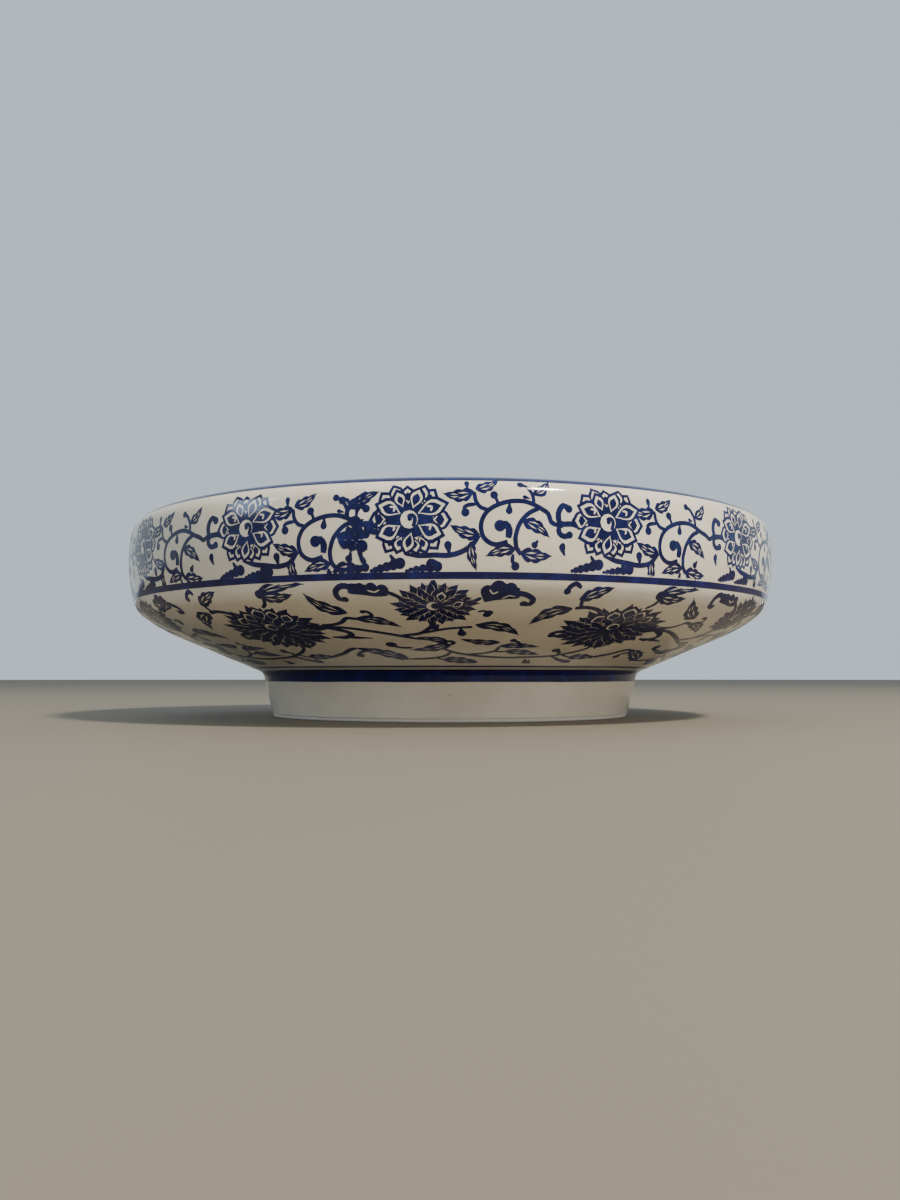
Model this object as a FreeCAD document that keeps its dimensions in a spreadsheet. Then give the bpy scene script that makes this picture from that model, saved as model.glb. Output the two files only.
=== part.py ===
import FreeCAD, Part
import math
import os
import Sketcher
from FreeCAD import Placement, Rotation, Vector

# A low, straight-sided porcelain serving bowl on a tall foot.  Units are millimetres, +Z is up,
# and the origin is the middle of the foot's resting edge.  The bowl and its foot are thrown apart
# and luted with slip, a clear glaze covers both, and the cobalt work is fused into the glaze's top.

DRIVING_SIZES = [
    # the foot
    ("foot_radius", 72.8, "outside of the foot at the resting edge"),
    ("foot_slope", 77.0, "the foot's outside, degrees from level"),
    ("foot_wall", 5.6, "the foot's wall at the resting edge"),
    ("well_slope", 87.0, "the foot's inside, degrees from level, narrowing upwards"),
    ("foot_edge_round", 0.8, "rounding of the resting edge"),
    ("bare_edge", 1.6, "height left unglazed at the resting edge"),
    ("side_height", 16.3, "where the foot's straight side ends"),
    ("neck_radius", 3.4, "hollow between the foot and the cone"),
    ("well_fillet", 3.0, "slip wiped into the corner of the well"),
    ("slip_joint", 0.4, "slip between the foot and the bowl"),
    # the bowl, as biscuit
    ("base_height", 15.8, "underside of the bowl"),
    ("floor_height", 22.0, "inside floor of the bowl"),
    ("cone_slope", 22.9, "the lower body, degrees from level"),
    ("swell_radius", 60.0, "swelling at the top of the cone"),
    ("shoulder_radius", 9.4, "rounding of the shoulder"),
    ("shoulder_height", 45.0, "where the shoulder meets the upright band"),
    ("barrel_radius", 65.0, "upright curve of the band"),
    ("widest_radius", 129.6, "half of the widest diameter"),
    ("widest_height", 61.5, "height of the widest diameter"),
    ("rim_radius", 6.6, "curve that brings the band in to the lip"),
    ("bowl_height", 76.0, "top of the lip"),
    ("lip_radius", 2.4, "inner half of the lip"),
    ("curl_radius", 9.0, "hollow under the lip, inside"),
    ("wall", 4.4, "thickness of the wall"),
    ("floor_fillet", 20.0, "between the inside floor and the cone"),
    # glaze and cobalt
    ("glaze", 0.4, "thickness of the clear glaze"),
    ("film", 0.15, "thickness of a cobalt film, in the top of the glaze"),
    ("foot_band_low", 14.2, "navy band round the neck, lower edge"),
    ("foot_band_high", 18.5, "navy band round the neck, upper edge"),
    ("foot_line_low", 19.3, "thin line above the band, lower edge"),
    ("foot_line_high", 19.8, "thin line above the band, upper edge"),
    ("lower_scroll_low", 20.4, "scroll of the lower body, lower edge"),
    ("lower_scroll_high", 44.6, "scroll of the lower body, upper edge"),
    ("shoulder_line_low", 45.1, "line on the shoulder, lower edge"),
    ("shoulder_line_high", 46.7, "line on the shoulder, upper edge"),
    ("rim_scroll_low", 47.1, "scroll of the upright band, lower edge"),
    ("rim_scroll_high", 74.6, "scroll of the upright band, upper edge"),
    ("lip_line_width", 4.7, "line round the lip, level width"),
    ("medallion_radius", 34.0, "flower in the middle of the floor"),
    ("floor_ring_inner", 60.0, "ring line on the floor, inner radius"),
    ("floor_ring_outer", 61.4, "ring line on the floor, outer radius"),
]

# which side of its path a skin grows on, as the offset's sign
OUTSIDE = -1
INSIDE = -1
IN_WELL = 1

doc = FreeCAD.newDocument("serving_bowl")


# ---------------------------------------------------------------- sizes
def make_sheet():
    """The driving dimensions: one row each, with the name in A, the number in B and a note in C."""
    sheet = doc.addObject("Spreadsheet::Sheet", "Sizes")
    for row, (name, value, note) in enumerate(DRIVING_SIZES, start=1):
        sheet.set(f"A{row}", name)
        sheet.set(f"B{row}", str(value))
        sheet.set(f"C{row}", note)
        sheet.setAlias(f"B{row}", name)
    doc.recompute()
    return sheet


sheet = make_sheet()


def size(name):
    """A driving dimension's present value."""
    return float(getattr(sheet, name))


def foot_side_radius(height):
    """Radius of the foot's sloping outside at a height."""
    return size("foot_radius") + height / math.tan(math.radians(size("foot_slope")))


def well_side_radius(height):
    """Radius of the foot's inside at a height."""
    lean = height / math.tan(math.radians(size("well_slope")))
    return size("foot_radius") - size("foot_wall") - lean


FOOT_SIDE = "Sizes.foot_radius + ({height}) / tan(Sizes.foot_slope * 1 deg)"
WELL_SIDE = "Sizes.foot_radius - Sizes.foot_wall - ({height}) / tan(Sizes.well_slope * 1 deg)"
FOOT_TOP = "Sizes.base_height - Sizes.slip_joint"


# ---------------------------------------------------------------- sketch helpers
def heading(degrees):
    """A unit vector in the section plane."""
    return Vector(math.cos(math.radians(degrees)), math.sin(math.radians(degrees)), 0)


def circles_meet(centre_a, radius_a, centre_b, radius_b, side):
    """A point radius_a from one centre and radius_b from the other, on the chosen side."""
    gap = (centre_b - centre_a).Length
    along = (gap**2 + radius_a**2 - radius_b**2) / (2 * gap)
    across = math.sqrt(radius_a**2 - along**2)
    ahead = (centre_b - centre_a).normalize()
    left = Vector(-ahead.y, ahead.x, 0)
    return centre_a + ahead * along + left * across * side


class Section:
    """A sketch of half a cross-section: X is the radius and Y is the height."""

    def __init__(self, sketch):
        self.sketch = sketch
        self.guide = False

    def line(self, start, end):
        index = self.sketch.addGeometry(Part.LineSegment(start, end), self.guide)
        return index, 1, 2

    def arc(self, centre, start, end, turns_left):
        """An arc walked from start to end; an arc's own ends run anticlockwise."""
        first, last = (start, end) if turns_left else (end, start)
        first_angle = math.atan2(first.y - centre.y, first.x - centre.x)
        last_angle = math.atan2(last.y - centre.y, last.x - centre.x)
        if last_angle <= first_angle:
            last_angle += 2 * math.pi
        circle = Part.Circle(centre, Vector(0, 0, 1), (start - centre).Length)
        index = self.sketch.addGeometry(Part.ArcOfCircle(circle, first_angle, last_angle), self.guide)
        return (index, 1, 2) if turns_left else (index, 2, 1)

    def tie(self, kind, *where):
        return self.sketch.addConstraint(Sketcher.Constraint(kind, *where))

    def bind(self, expression, kind, *where):
        """A dimension that follows an expression on the sheet."""
        index = self.tie(kind, *where)
        self.sketch.setExpression(f"Constraints[{index}]", expression)

    def smooth(self, edges):
        """Each edge leaves where the one before it ends, in the same direction."""
        for before, after in zip(edges, edges[1:]):
            self.tie("Tangent", before[0], before[2], after[0], after[1])

    def joined(self, edges):
        for before, after in zip(edges, edges[1:]):
            self.tie("Coincident", before[0], before[2], after[0], after[1])


# ---------------------------------------------------------------- the bowl's outline
def outline_places():
    """Where the outline's centres and joints fall, worked out from the driving dimensions."""
    at = {}
    slope = size("cone_slope")
    neck = size("neck_radius")
    at["side_end"] = Vector(foot_side_radius(size("side_height")), size("side_height"), 0)
    at["neck"] = at["side_end"] + heading(size("foot_slope") - 90) * neck
    at["cone_start"] = at["neck"] + heading(slope + 90) * neck

    barrel = size("barrel_radius")
    at["barrel"] = Vector(size("widest_radius") - barrel, size("widest_height"), 0)
    drop = size("widest_height") - size("shoulder_height")
    lean = math.degrees(math.asin(drop / barrel))
    at["barrel_start"] = at["barrel"] + heading(-lean) * barrel
    at["shoulder"] = at["barrel_start"] - heading(-lean) * size("shoulder_radius")

    # the swell's centre is its own radius above the cone's line, and inside the shoulder's circle
    swell = size("swell_radius")
    raised = at["cone_start"] + heading(slope + 90) * swell
    to_shoulder = at["shoulder"] - raised
    along = to_shoulder.dot(heading(slope))
    above = to_shoulder.dot(heading(slope + 90))
    reach = swell - size("shoulder_radius")
    at["swell"] = raised + heading(slope) * (along - math.sqrt(reach**2 - above**2))
    at["cone_end"] = at["swell"] - heading(slope + 90) * swell
    outward = (at["shoulder"] - at["swell"]).normalize()
    at["swell_end"] = at["swell"] + outward * swell

    rim = size("rim_radius")
    rim_height = size("bowl_height") - rim
    rise = rim_height - at["barrel"].y
    at["rim"] = Vector(at["barrel"].x + math.sqrt((barrel - rim)**2 - rise**2), rim_height, 0)
    at["barrel_end"] = at["barrel"] + (at["rim"] - at["barrel"]).normalize() * barrel
    at["top"] = at["rim"] + Vector(0, rim, 0)

    wall = size("wall")
    lip = size("lip_radius")
    curl = size("curl_radius")
    at["lip"] = at["top"] - Vector(0, lip, 0)
    at["curl"] = circles_meet(at["barrel"], barrel - wall - curl, at["lip"], lip + curl, -1)
    at["lip_end"] = at["lip"] + (at["curl"] - at["lip"]).normalize() * lip
    at["curl_end"] = at["barrel"] + (at["curl"] - at["barrel"]).normalize() * (barrel - wall)
    to_joint = (at["shoulder"] - at["barrel"]).normalize()
    at["inner_barrel_end"] = at["barrel"] + to_joint * (barrel - wall)
    at["inner_shoulder_end"] = at["swell"] + outward * (swell - wall)
    at["inner_cone_start"] = at["cone_end"] + heading(slope + 90) * wall
    fillet = size("floor_fillet")
    over = (size("floor_height") + fillet - at["inner_cone_start"].y - fillet * heading(slope + 90).y)
    back = over / heading(slope).y
    at["inner_cone_end"] = at["inner_cone_start"] + heading(slope) * back
    at["fillet"] = at["inner_cone_end"] + heading(slope + 90) * fillet
    at["floor_start"] = at["fillet"] - Vector(0, fillet, 0)
    return at


def draw_outside(section, at, start_height, start_expression):
    """The outside, from a height on the foot's side up to the top of the lip."""
    start = Vector(foot_side_radius(start_height), start_height, 0)
    side = section.line(start, at["side_end"])
    neck = section.arc(at["neck"], at["side_end"], at["cone_start"], False)
    cone = section.line(at["cone_start"], at["cone_end"])
    swell = section.arc(at["swell"], at["cone_end"], at["swell_end"], True)
    shoulder = section.arc(at["shoulder"], at["swell_end"], at["barrel_start"], True)
    barrel = section.arc(at["barrel"], at["barrel_start"], at["barrel_end"], True)
    rim = section.arc(at["rim"], at["barrel_end"], at["top"], True)
    section.smooth([side, neck, cone, swell, shoulder, barrel, rim])

    start_radius = FOOT_SIDE.format(height=start_expression)
    section.bind(start_radius, "DistanceX", side[0], 1, foot_side_radius(start_height))
    section.bind(start_expression, "DistanceY", side[0], 1, start_height)
    section.bind("Sizes.foot_slope * 1 deg", "Angle", side[0], math.radians(size("foot_slope")))
    section.bind("Sizes.side_height", "DistanceY", side[0], 2, size("side_height"))
    section.bind("Sizes.cone_slope * 1 deg", "Angle", cone[0], math.radians(size("cone_slope")))
    rounds = [(neck, "neck_radius"), (swell, "swell_radius"), (shoulder, "shoulder_radius"),
              (barrel, "barrel_radius"), (rim, "rim_radius")]
    for edge, name in rounds:
        section.bind(f"Sizes.{name}", "Radius", edge[0], size(name))
    section.bind("Sizes.shoulder_height", "DistanceY", barrel[0], 1, size("shoulder_height"))
    section.bind("Sizes.widest_radius - Sizes.barrel_radius", "DistanceX", barrel[0], 3, at["barrel"].x)
    section.bind("Sizes.widest_height", "DistanceY", barrel[0], 3, size("widest_height"))
    section.bind("Sizes.bowl_height", "DistanceY", rim[0], rim[2], size("bowl_height"))
    section.tie("Vertical", rim[0], 3, rim[0], rim[2])
    return {"start": side, "cone": cone, "swell": swell, "shoulder": shoulder, "barrel": barrel, "end": rim}


def draw_inside(section, at, outside):
    """The inside, from the top of the lip down to the middle of the floor; the wall is even."""
    lip = section.arc(at["lip"], at["top"], at["lip_end"], True)
    curl = section.arc(at["curl"], at["lip_end"], at["curl_end"], False)
    barrel = section.arc(at["barrel"], at["curl_end"], at["inner_barrel_end"], False)
    shoulder = section.arc(at["shoulder"], at["inner_barrel_end"], at["inner_shoulder_end"], False)
    swell = section.arc(at["swell"], at["inner_shoulder_end"], at["inner_cone_start"], False)
    cone = section.line(at["inner_cone_start"], at["inner_cone_end"])
    fillet = section.arc(at["fillet"], at["inner_cone_end"], at["floor_start"], False)
    floor = section.line(at["floor_start"], Vector(0, size("floor_height"), 0))
    section.smooth([outside["end"], lip, curl, barrel, shoulder, swell, cone, fillet, floor])

    section.bind("Sizes.lip_radius", "Radius", lip[0], size("lip_radius"))
    section.bind("Sizes.curl_radius", "Radius", curl[0], size("curl_radius"))
    inner_barrel = size("barrel_radius") - size("wall")
    section.bind("Sizes.barrel_radius - Sizes.wall", "Radius", barrel[0], inner_barrel)
    for inner, outer in ((barrel, "barrel"), (shoulder, "shoulder"), (swell, "swell")):
        section.tie("Coincident", inner[0], 3, outside[outer][0], 3)
    section.tie("Parallel", cone[0], outside["cone"][0])
    section.bind("Sizes.floor_fillet", "Radius", fillet[0], size("floor_fillet"))
    section.tie("Horizontal", floor[0])
    section.bind("Sizes.floor_height", "DistanceY", floor[0], 2, size("floor_height"))
    section.tie("PointOnObject", floor[0], 2, -2)
    return {"start": lip, "end": floor}


# ---------------------------------------------------------------- turned pieces
def new_body(label):
    body = doc.addObject("PartDesign::Body", label)
    body.Label = label
    return body


def section_sketch(body, label):
    """A sketch on the body's own XZ plane: its X is the radius and its Y is the height."""
    sketch = body.newObject("Sketcher::SketchObject", label)
    plane = next(item for item in body.Origin.OriginFeatures if item.Role == "XZ_Plane")
    sketch.AttachmentSupport = [(plane, "")]
    sketch.MapMode = "FlatFace"
    return sketch


def turn(body, sketch):
    """The section turned once round the vertical axis."""
    turned = body.newObject("PartDesign::Revolution", body.Label + "_turned")
    turned.Profile = (sketch, [""])
    turned.ReferenceAxis = (sketch, ["V_Axis"])
    turned.Angle = 360.0
    sketch.Visibility = False
    doc.recompute()
    return turned


def make_bowl(at):
    """Floor, cone, shoulder, upright band and lip: one thrown wall."""
    body = new_body("porcelain_bowl")
    sketch = section_sketch(body, "bowl_section")
    section = Section(sketch)
    outside = draw_outside(section, at, size("base_height"), "Sizes.base_height")
    inside = draw_inside(section, at, outside)
    low = Vector(0, size("base_height"), 0)
    middle = section.line(Vector(0, size("floor_height"), 0), low)
    underside = section.line(low, Vector(foot_side_radius(size("base_height")), size("base_height"), 0))
    section.joined([inside["end"], middle, underside, outside["start"]])
    section.tie("Vertical", middle[0])
    section.tie("Horizontal", underside[0])
    turn(body, sketch)
    return body


def make_foot_ring():
    """The foot: a wedge-shaped ring with a rounded resting edge."""
    body = new_body("foot_ring")
    sketch = section_sketch(body, "foot_section")
    section = Section(sketch)
    top = size("base_height") - size("slip_joint")
    inner = size("foot_radius") - size("foot_wall")
    corners = [Vector(inner, 0, 0), Vector(size("foot_radius"), 0, 0),
               Vector(foot_side_radius(top), top, 0), Vector(well_side_radius(top), top, 0)]
    edges = [section.line(corners[n], corners[(n + 1) % 4]) for n in range(4)]
    section.joined(edges + edges[:1])
    resting, side, upper, _ = edges
    section.tie("Horizontal", resting[0])
    section.tie("Horizontal", upper[0])
    section.tie("PointOnObject", resting[0], 1, -1)
    section.bind("Sizes.foot_radius - Sizes.foot_wall", "DistanceX", resting[0], 1, inner)
    section.bind("Sizes.foot_radius", "DistanceX", resting[0], 2, size("foot_radius"))
    section.bind(FOOT_TOP, "DistanceY", side[0], 2, top)
    section.bind(FOOT_SIDE.format(height=FOOT_TOP), "DistanceX", side[0], 2, foot_side_radius(top))
    section.bind(WELL_SIDE.format(height=FOOT_TOP), "DistanceX", upper[0], 2, well_side_radius(top))
    turned = turn(body, sketch)

    resting_edges = [f"Edge{n}" for n, edge in enumerate(turned.Shape.Edges, start=1)
                     if edge.BoundBox.ZMax < 0.01]
    rounded = body.newObject("PartDesign::Fillet", "resting_edge")
    rounded.Base = (turned, resting_edges)
    rounded.Radius = size("foot_edge_round")
    rounded.setExpression("Radius", "Sizes.foot_edge_round")
    doc.recompute()
    return body


def corner_fillet_places():
    """The wiped corner of the well: its centre, and where it meets the side and the underside."""
    lean = math.radians(size("well_slope"))
    radius = size("well_fillet")
    under = size("base_height")
    level = under - radius
    centre = Vector(well_side_radius(level) - radius / math.sin(lean), level, 0)
    return centre, centre + heading(90 - size("well_slope")) * radius, Vector(centre.x, under, 0)


def make_luting_slip():
    """Slip squeezed between the foot and the bowl, and wiped into the corner of the well."""
    body = new_body("luting_slip")
    sketch = section_sketch(body, "slip_section")
    section = Section(sketch)
    top = size("base_height")
    low = top - size("slip_joint")
    centre, on_side, on_under = corner_fillet_places()
    outer_low = Vector(foot_side_radius(low), low, 0)
    outer_top = Vector(foot_side_radius(top), top, 0)
    inner_low = Vector(well_side_radius(low), low, 0)
    upper = section.line(outer_top, on_under)
    corner = section.arc(centre, on_under, on_side, False)
    inner = section.line(on_side, inner_low)
    lower = section.line(inner_low, outer_low)
    outer = section.line(outer_low, outer_top)
    section.smooth([upper, corner, inner])
    section.joined([inner, lower, outer, upper])
    section.tie("Horizontal", upper[0])
    section.tie("Horizontal", lower[0])
    section.bind("Sizes.well_fillet", "Radius", corner[0], size("well_fillet"))
    section.bind("Sizes.base_height", "DistanceY", upper[0], 1, top)
    section.bind(FOOT_TOP, "DistanceY", lower[0], 1, low)
    section.bind(FOOT_SIDE.format(height="Sizes.base_height"), "DistanceX", upper[0], 1, outer_top.x)
    section.bind(FOOT_SIDE.format(height=FOOT_TOP), "DistanceX", lower[0], 2, outer_low.x)
    section.bind(WELL_SIDE.format(height=FOOT_TOP), "DistanceX", lower[0], 1, inner_low.x)
    section.bind("180 deg - Sizes.well_slope * 1 deg", "Angle", inner[0],
                 math.radians(180 - size("well_slope")))
    turn(body, sketch)
    return body


# ---------------------------------------------------------------- glaze and cobalt
def loose_sketch(label):
    """A section sketch that stands upright in the document, for skins laid over the biscuit."""
    sketch = doc.addObject("Sketcher::SketchObject", label)
    sketch.Placement = Placement(Vector(0, 0, 0), Rotation(Vector(1, 0, 0), 90))
    sketch.Visibility = False
    return sketch


def outside_path(at):
    sketch = loose_sketch("outside_path")
    draw_outside(Section(sketch), at, size("bare_edge"), "Sizes.bare_edge")
    return sketch


def inside_path(at):
    sketch = loose_sketch("inside_path")
    section = Section(sketch)
    section.guide = True
    outside = draw_outside(section, at, size("bare_edge"), "Sizes.bare_edge")
    section.guide = False
    draw_inside(section, at, outside)
    return sketch


def well_path():
    """The inside of the foot, the wiped corner and the bowl's underside."""
    sketch = loose_sketch("well_path")
    section = Section(sketch)
    start_height = size("bare_edge")
    centre, on_side, on_under = corner_fillet_places()
    side = section.line(Vector(well_side_radius(start_height), start_height, 0), on_side)
    corner = section.arc(centre, on_side, on_under, True)
    under = section.line(on_under, Vector(0, size("base_height"), 0))
    section.smooth([side, corner, under])
    section.bind("Sizes.bare_edge", "DistanceY", side[0], 1, start_height)
    section.bind(WELL_SIDE.format(height="Sizes.bare_edge"), "DistanceX", side[0], 1,
                 well_side_radius(start_height))
    section.bind("180 deg - Sizes.well_slope * 1 deg", "Angle", side[0],
                 math.radians(180 - size("well_slope")))
    section.bind("Sizes.well_fillet", "Radius", corner[0], size("well_fillet"))
    section.tie("Horizontal", under[0])
    section.bind("Sizes.base_height", "DistanceY", under[0], 2, size("base_height"))
    section.tie("PointOnObject", under[0], 2, -2)
    return sketch


def skin_section(label, path, thickness, side):
    """A layer on one side of a path; thickness is an expression and side is 1 or -1."""
    skin = doc.addObject("Part::Offset2D", label)
    skin.Source = path
    skin.Mode = "Skin"
    skin.Join = "Arc"
    skin.Fill = True
    skin.Value = side * size("glaze")
    skin.setExpression("Value", f"{side} * ({thickness})")
    skin.Visibility = False
    doc.recompute()
    return skin


def film_section(label, glaze, path, side):
    """The top layer of a glaze section, which the cobalt is fused into."""
    return without(label, glaze, [skin_section(label + "_bed", path, "Sizes.glaze - Sizes.film", side)])


def zone_piece(label, skin, radii, heights):
    """The part of a skin between two radii and two heights; each limit is an expression."""
    zone = doc.addObject("Part::Plane", label + "_zone")
    zone.Placement = Placement(Vector(0, 0, 0), Rotation(Vector(1, 0, 0), 90))
    zone.setExpression("Placement.Base.x", radii[0])
    zone.setExpression("Placement.Base.z", heights[0])
    zone.setExpression("Length", f"{radii[1]} - ({radii[0]})")
    zone.setExpression("Width", f"{heights[1]} - ({heights[0]})")
    zone.Visibility = False
    piece = doc.addObject("Part::Common", label + "_section")
    piece.Base = skin
    piece.Tool = zone
    piece.Visibility = False
    doc.recompute()
    return piece


def without(label, skin, pieces):
    """A skin's section with other pieces' sections taken out."""
    group = doc.addObject("Part::Compound", label + "_taken")
    group.Links = pieces
    group.Visibility = False
    rest = doc.addObject("Part::Cut", label)
    rest.Base = skin
    rest.Tool = group
    rest.Visibility = False
    doc.recompute()
    return rest


def turned_skin(label, section):
    """A section turned once round the vertical axis, as a solid of its own."""
    skin = doc.addObject("Part::Revolution", label)
    skin.Label = label
    skin.Source = section
    skin.Axis = Vector(0, 0, 1)
    skin.Base = Vector(0, 0, 0)
    skin.Angle = 360.0
    skin.Solid = True
    doc.recompute()
    return skin


def make_outside_skins(at):
    """The clear glaze outside, and the cobalt fused into it."""
    path = outside_path(at)
    glaze = skin_section("outside_glaze_skin", path, "Sizes.glaze", OUTSIDE)
    film = film_section("outside_film", glaze, path, OUTSIDE)
    body_radii = ("Sizes.foot_radius / 2", "Sizes.widest_radius + 10")
    lip_top = at["top"].x
    lip_radii = (f"{lip_top}", f"{lip_top} + Sizes.lip_line_width")
    zones = [
        ("foot_band", body_radii, ("Sizes.foot_band_low", "Sizes.foot_band_high")),
        ("foot_band_line", body_radii, ("Sizes.foot_line_low", "Sizes.foot_line_high")),
        ("lower_body_transfer", body_radii, ("Sizes.lower_scroll_low", "Sizes.lower_scroll_high")),
        ("shoulder_line", body_radii, ("Sizes.shoulder_line_low", "Sizes.shoulder_line_high")),
        ("rim_band_transfer", body_radii, ("Sizes.rim_scroll_low", "Sizes.rim_scroll_high")),
        ("lip_line", lip_radii, ("Sizes.rim_scroll_high", "Sizes.bowl_height + 10")),
    ]
    sections = [zone_piece(label, film, radii, heights) for label, radii, heights in zones]
    pieces = [turned_skin(zone[0], section) for zone, section in zip(zones, sections)]
    pieces.append(turned_skin("outer_glaze", without("outer_glaze_section", glaze, sections)))
    return pieces


def make_inside_skins(at):
    """The clear glaze inside, with the floor's ring line and middle flower fused into it."""
    path = inside_path(at)
    glaze = skin_section("inside_glaze_skin", path, "Sizes.glaze", INSIDE)
    film = film_section("inside_film", glaze, path, INSIDE)
    floor = ("Sizes.floor_height - 1", "Sizes.floor_height + 1")
    zones = [
        ("centre_medallion", ("0", "Sizes.medallion_radius"), floor),
        ("floor_ring", ("Sizes.floor_ring_inner", "Sizes.floor_ring_outer"), floor),
    ]
    sections = [zone_piece(label, film, radii, heights) for label, radii, heights in zones]
    pieces = [turned_skin(zone[0], section) for zone, section in zip(zones, sections)]
    pieces.append(turned_skin("inner_glaze", without("inner_glaze_section", glaze, sections)))
    return pieces


def make_well_glaze():
    """The clear glaze inside the foot and over the bowl's underside."""
    section = skin_section("well_glaze_skin", well_path(), "Sizes.glaze", IN_WELL)
    return [turned_skin("foot_well_glaze", section)]




# ---------------------------------------------------------------- making and writing
def check_document():
    """Every object of the document computed."""
    failed = [item.Label for item in doc.Objects if {"Invalid", "Error"} & set(item.State)]
    if failed:
        raise RuntimeError(f"not computed: {failed}")


def write_parts(pieces):
    for piece in pieces:
        shape = piece.Shape
        if shape.isNull() or not shape.isValid() or len(shape.Solids) != 1:
            raise RuntimeError(f"{piece.Label} is not one valid solid")
    os.makedirs("parts", exist_ok=True)
    for piece in pieces:
        piece.Shape.exportStep(f"parts/{piece.Label}.step")
        box = piece.Shape.optimalBoundingBox(False)
        print(f"{piece.Label:20s} volume {piece.Shape.Volume:10.1f} mm3, radius {box.XMax:7.2f},"
              f" height {box.ZMin:6.2f} to {box.ZMax:6.2f}")


places = outline_places()
parts = [make_bowl(places), make_foot_ring(), make_luting_slip()]
parts += make_outside_skins(places)
parts += make_inside_skins(places)
parts += make_well_glaze()
doc.recompute()
check_document()
write_parts(parts)
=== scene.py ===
# %% [markdown]
# # A blue and white porcelain serving bowl
#
# The bowl is low and round, with upright sides, on a tall foot. A potter makes it in this order:
# throw the bowl, throw the foot, stick them together with slip, glaze, and lay the printed cobalt
# transfers into the glaze. This lesson follows the same order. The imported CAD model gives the
# biscuit, and everything that is glossy or blue is made here around it.

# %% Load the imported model
import math
import bpy
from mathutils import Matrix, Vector
from mathutils.geometry import delaunay_2d_cdt


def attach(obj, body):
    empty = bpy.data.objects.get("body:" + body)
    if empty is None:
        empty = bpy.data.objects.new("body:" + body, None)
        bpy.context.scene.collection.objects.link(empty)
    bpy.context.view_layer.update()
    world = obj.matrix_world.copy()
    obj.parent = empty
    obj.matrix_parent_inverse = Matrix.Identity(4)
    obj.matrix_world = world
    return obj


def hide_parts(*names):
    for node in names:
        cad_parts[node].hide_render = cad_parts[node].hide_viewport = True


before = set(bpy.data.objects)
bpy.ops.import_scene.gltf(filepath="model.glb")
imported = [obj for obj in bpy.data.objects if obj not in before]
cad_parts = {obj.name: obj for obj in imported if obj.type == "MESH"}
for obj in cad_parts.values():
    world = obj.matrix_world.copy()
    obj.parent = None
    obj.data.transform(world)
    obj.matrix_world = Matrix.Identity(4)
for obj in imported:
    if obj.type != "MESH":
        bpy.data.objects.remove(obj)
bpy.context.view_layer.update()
MM = 0.001


# %% [markdown]
# ## The section of the bowl
#
# A turned pot is fully described by half of its section. On paper it is a chain of straight runs
# and arcs that meet without a corner, so it can be worked out with compass and ruler: an arc that
# is tangent to a line has its centre one radius away from it, and two arcs that are tangent to each
# other have their centres in line with the place where they meet. Working it out this way, instead
# of tracing points, keeps the surface perfectly smooth, which matters because a glaze is a mirror.

# %% Sizes of the section, in millimetres, measured on the bare biscuit
GLAZE = 0.4
FOOT = {"radius": 72.8, "slope": 77.0, "wall": 5.6, "bare": 1.6, "well_slope": 87.0, "well_fillet": 3.0}
NECK = {"height": 16.3, "radius": 3.4}
CONE = {"slope": 22.9, "swell": 60.0, "underside": 15.8}
SHOULDER = {"radius": 9.4, "height": 45.0}
BAND = {"curve": 65.0, "widest": 129.6, "widest_height": 61.5}
RIM = {"radius": 6.6, "height": 76.0, "lip": 2.4, "curl": 9.0}
INSIDE = {"wall": 4.4, "floor": 22.0, "fillet": 20.0}


# %% Compass and ruler
def towards(degrees):
    """A unit step in the section: x is the radius and y is the height."""
    return Vector((math.cos(math.radians(degrees)), math.sin(math.radians(degrees))))


def bearing(step):
    return math.degrees(math.atan2(step.y, step.x))


def circles_meet(centre_a, radius_a, centre_b, radius_b):
    """Where two circles meet, on the right of the line between their centres."""
    gap = (centre_b - centre_a).length
    along = (gap**2 + radius_a**2 - radius_b**2) / (2 * gap)
    across = math.sqrt(radius_a**2 - along**2)
    ahead = (centre_b - centre_a) / gap
    return centre_a + ahead * along + Vector((ahead.y, -ahead.x)) * across


def foot_side(height):
    return Vector((FOOT["radius"] + height / math.tan(math.radians(FOOT["slope"])), height))


def section_centres():
    """The centres and joints of the arcs."""
    at = {}
    up_cone = towards(CONE["slope"])
    off_cone = towards(CONE["slope"] + 90)
    at["side_end"] = foot_side(NECK["height"])
    at["neck"] = at["side_end"] + towards(FOOT["slope"] - 90) * NECK["radius"]
    at["cone_start"] = at["neck"] + off_cone * NECK["radius"]
    at["band"] = Vector((BAND["widest"] - BAND["curve"], BAND["widest_height"]))
    lean = math.asin((BAND["widest_height"] - SHOULDER["height"]) / BAND["curve"])
    outward = towards(-math.degrees(lean))
    at["shoulder"] = at["band"] + outward * (BAND["curve"] - SHOULDER["radius"])
    raised = at["cone_start"] + off_cone * CONE["swell"]
    reach = CONE["swell"] - SHOULDER["radius"]
    above = (at["shoulder"] - raised).dot(off_cone)
    at["swell"] = raised + up_cone * ((at["shoulder"] - raised).dot(up_cone) - math.sqrt(reach**2 - above**2))
    at["cone_end"] = at["swell"] - off_cone * CONE["swell"]
    rise = RIM["height"] - RIM["radius"] - at["band"].y
    at["rim"] = at["band"] + Vector((math.sqrt((BAND["curve"] - RIM["radius"])**2 - rise**2), rise))
    at["lip"] = at["rim"] + Vector((0, RIM["radius"] - RIM["lip"]))
    inner = BAND["curve"] - INSIDE["wall"]
    at["curl"] = circles_meet(at["band"], inner - RIM["curl"], at["lip"], RIM["lip"] + RIM["curl"])
    fillet_height = INSIDE["floor"] + INSIDE["fillet"]
    start = at["cone_end"] + off_cone * (INSIDE["wall"] + INSIDE["fillet"])
    at["fillet"] = start + up_cone * ((fillet_height - start.y) / up_cone.y)
    return at


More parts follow.
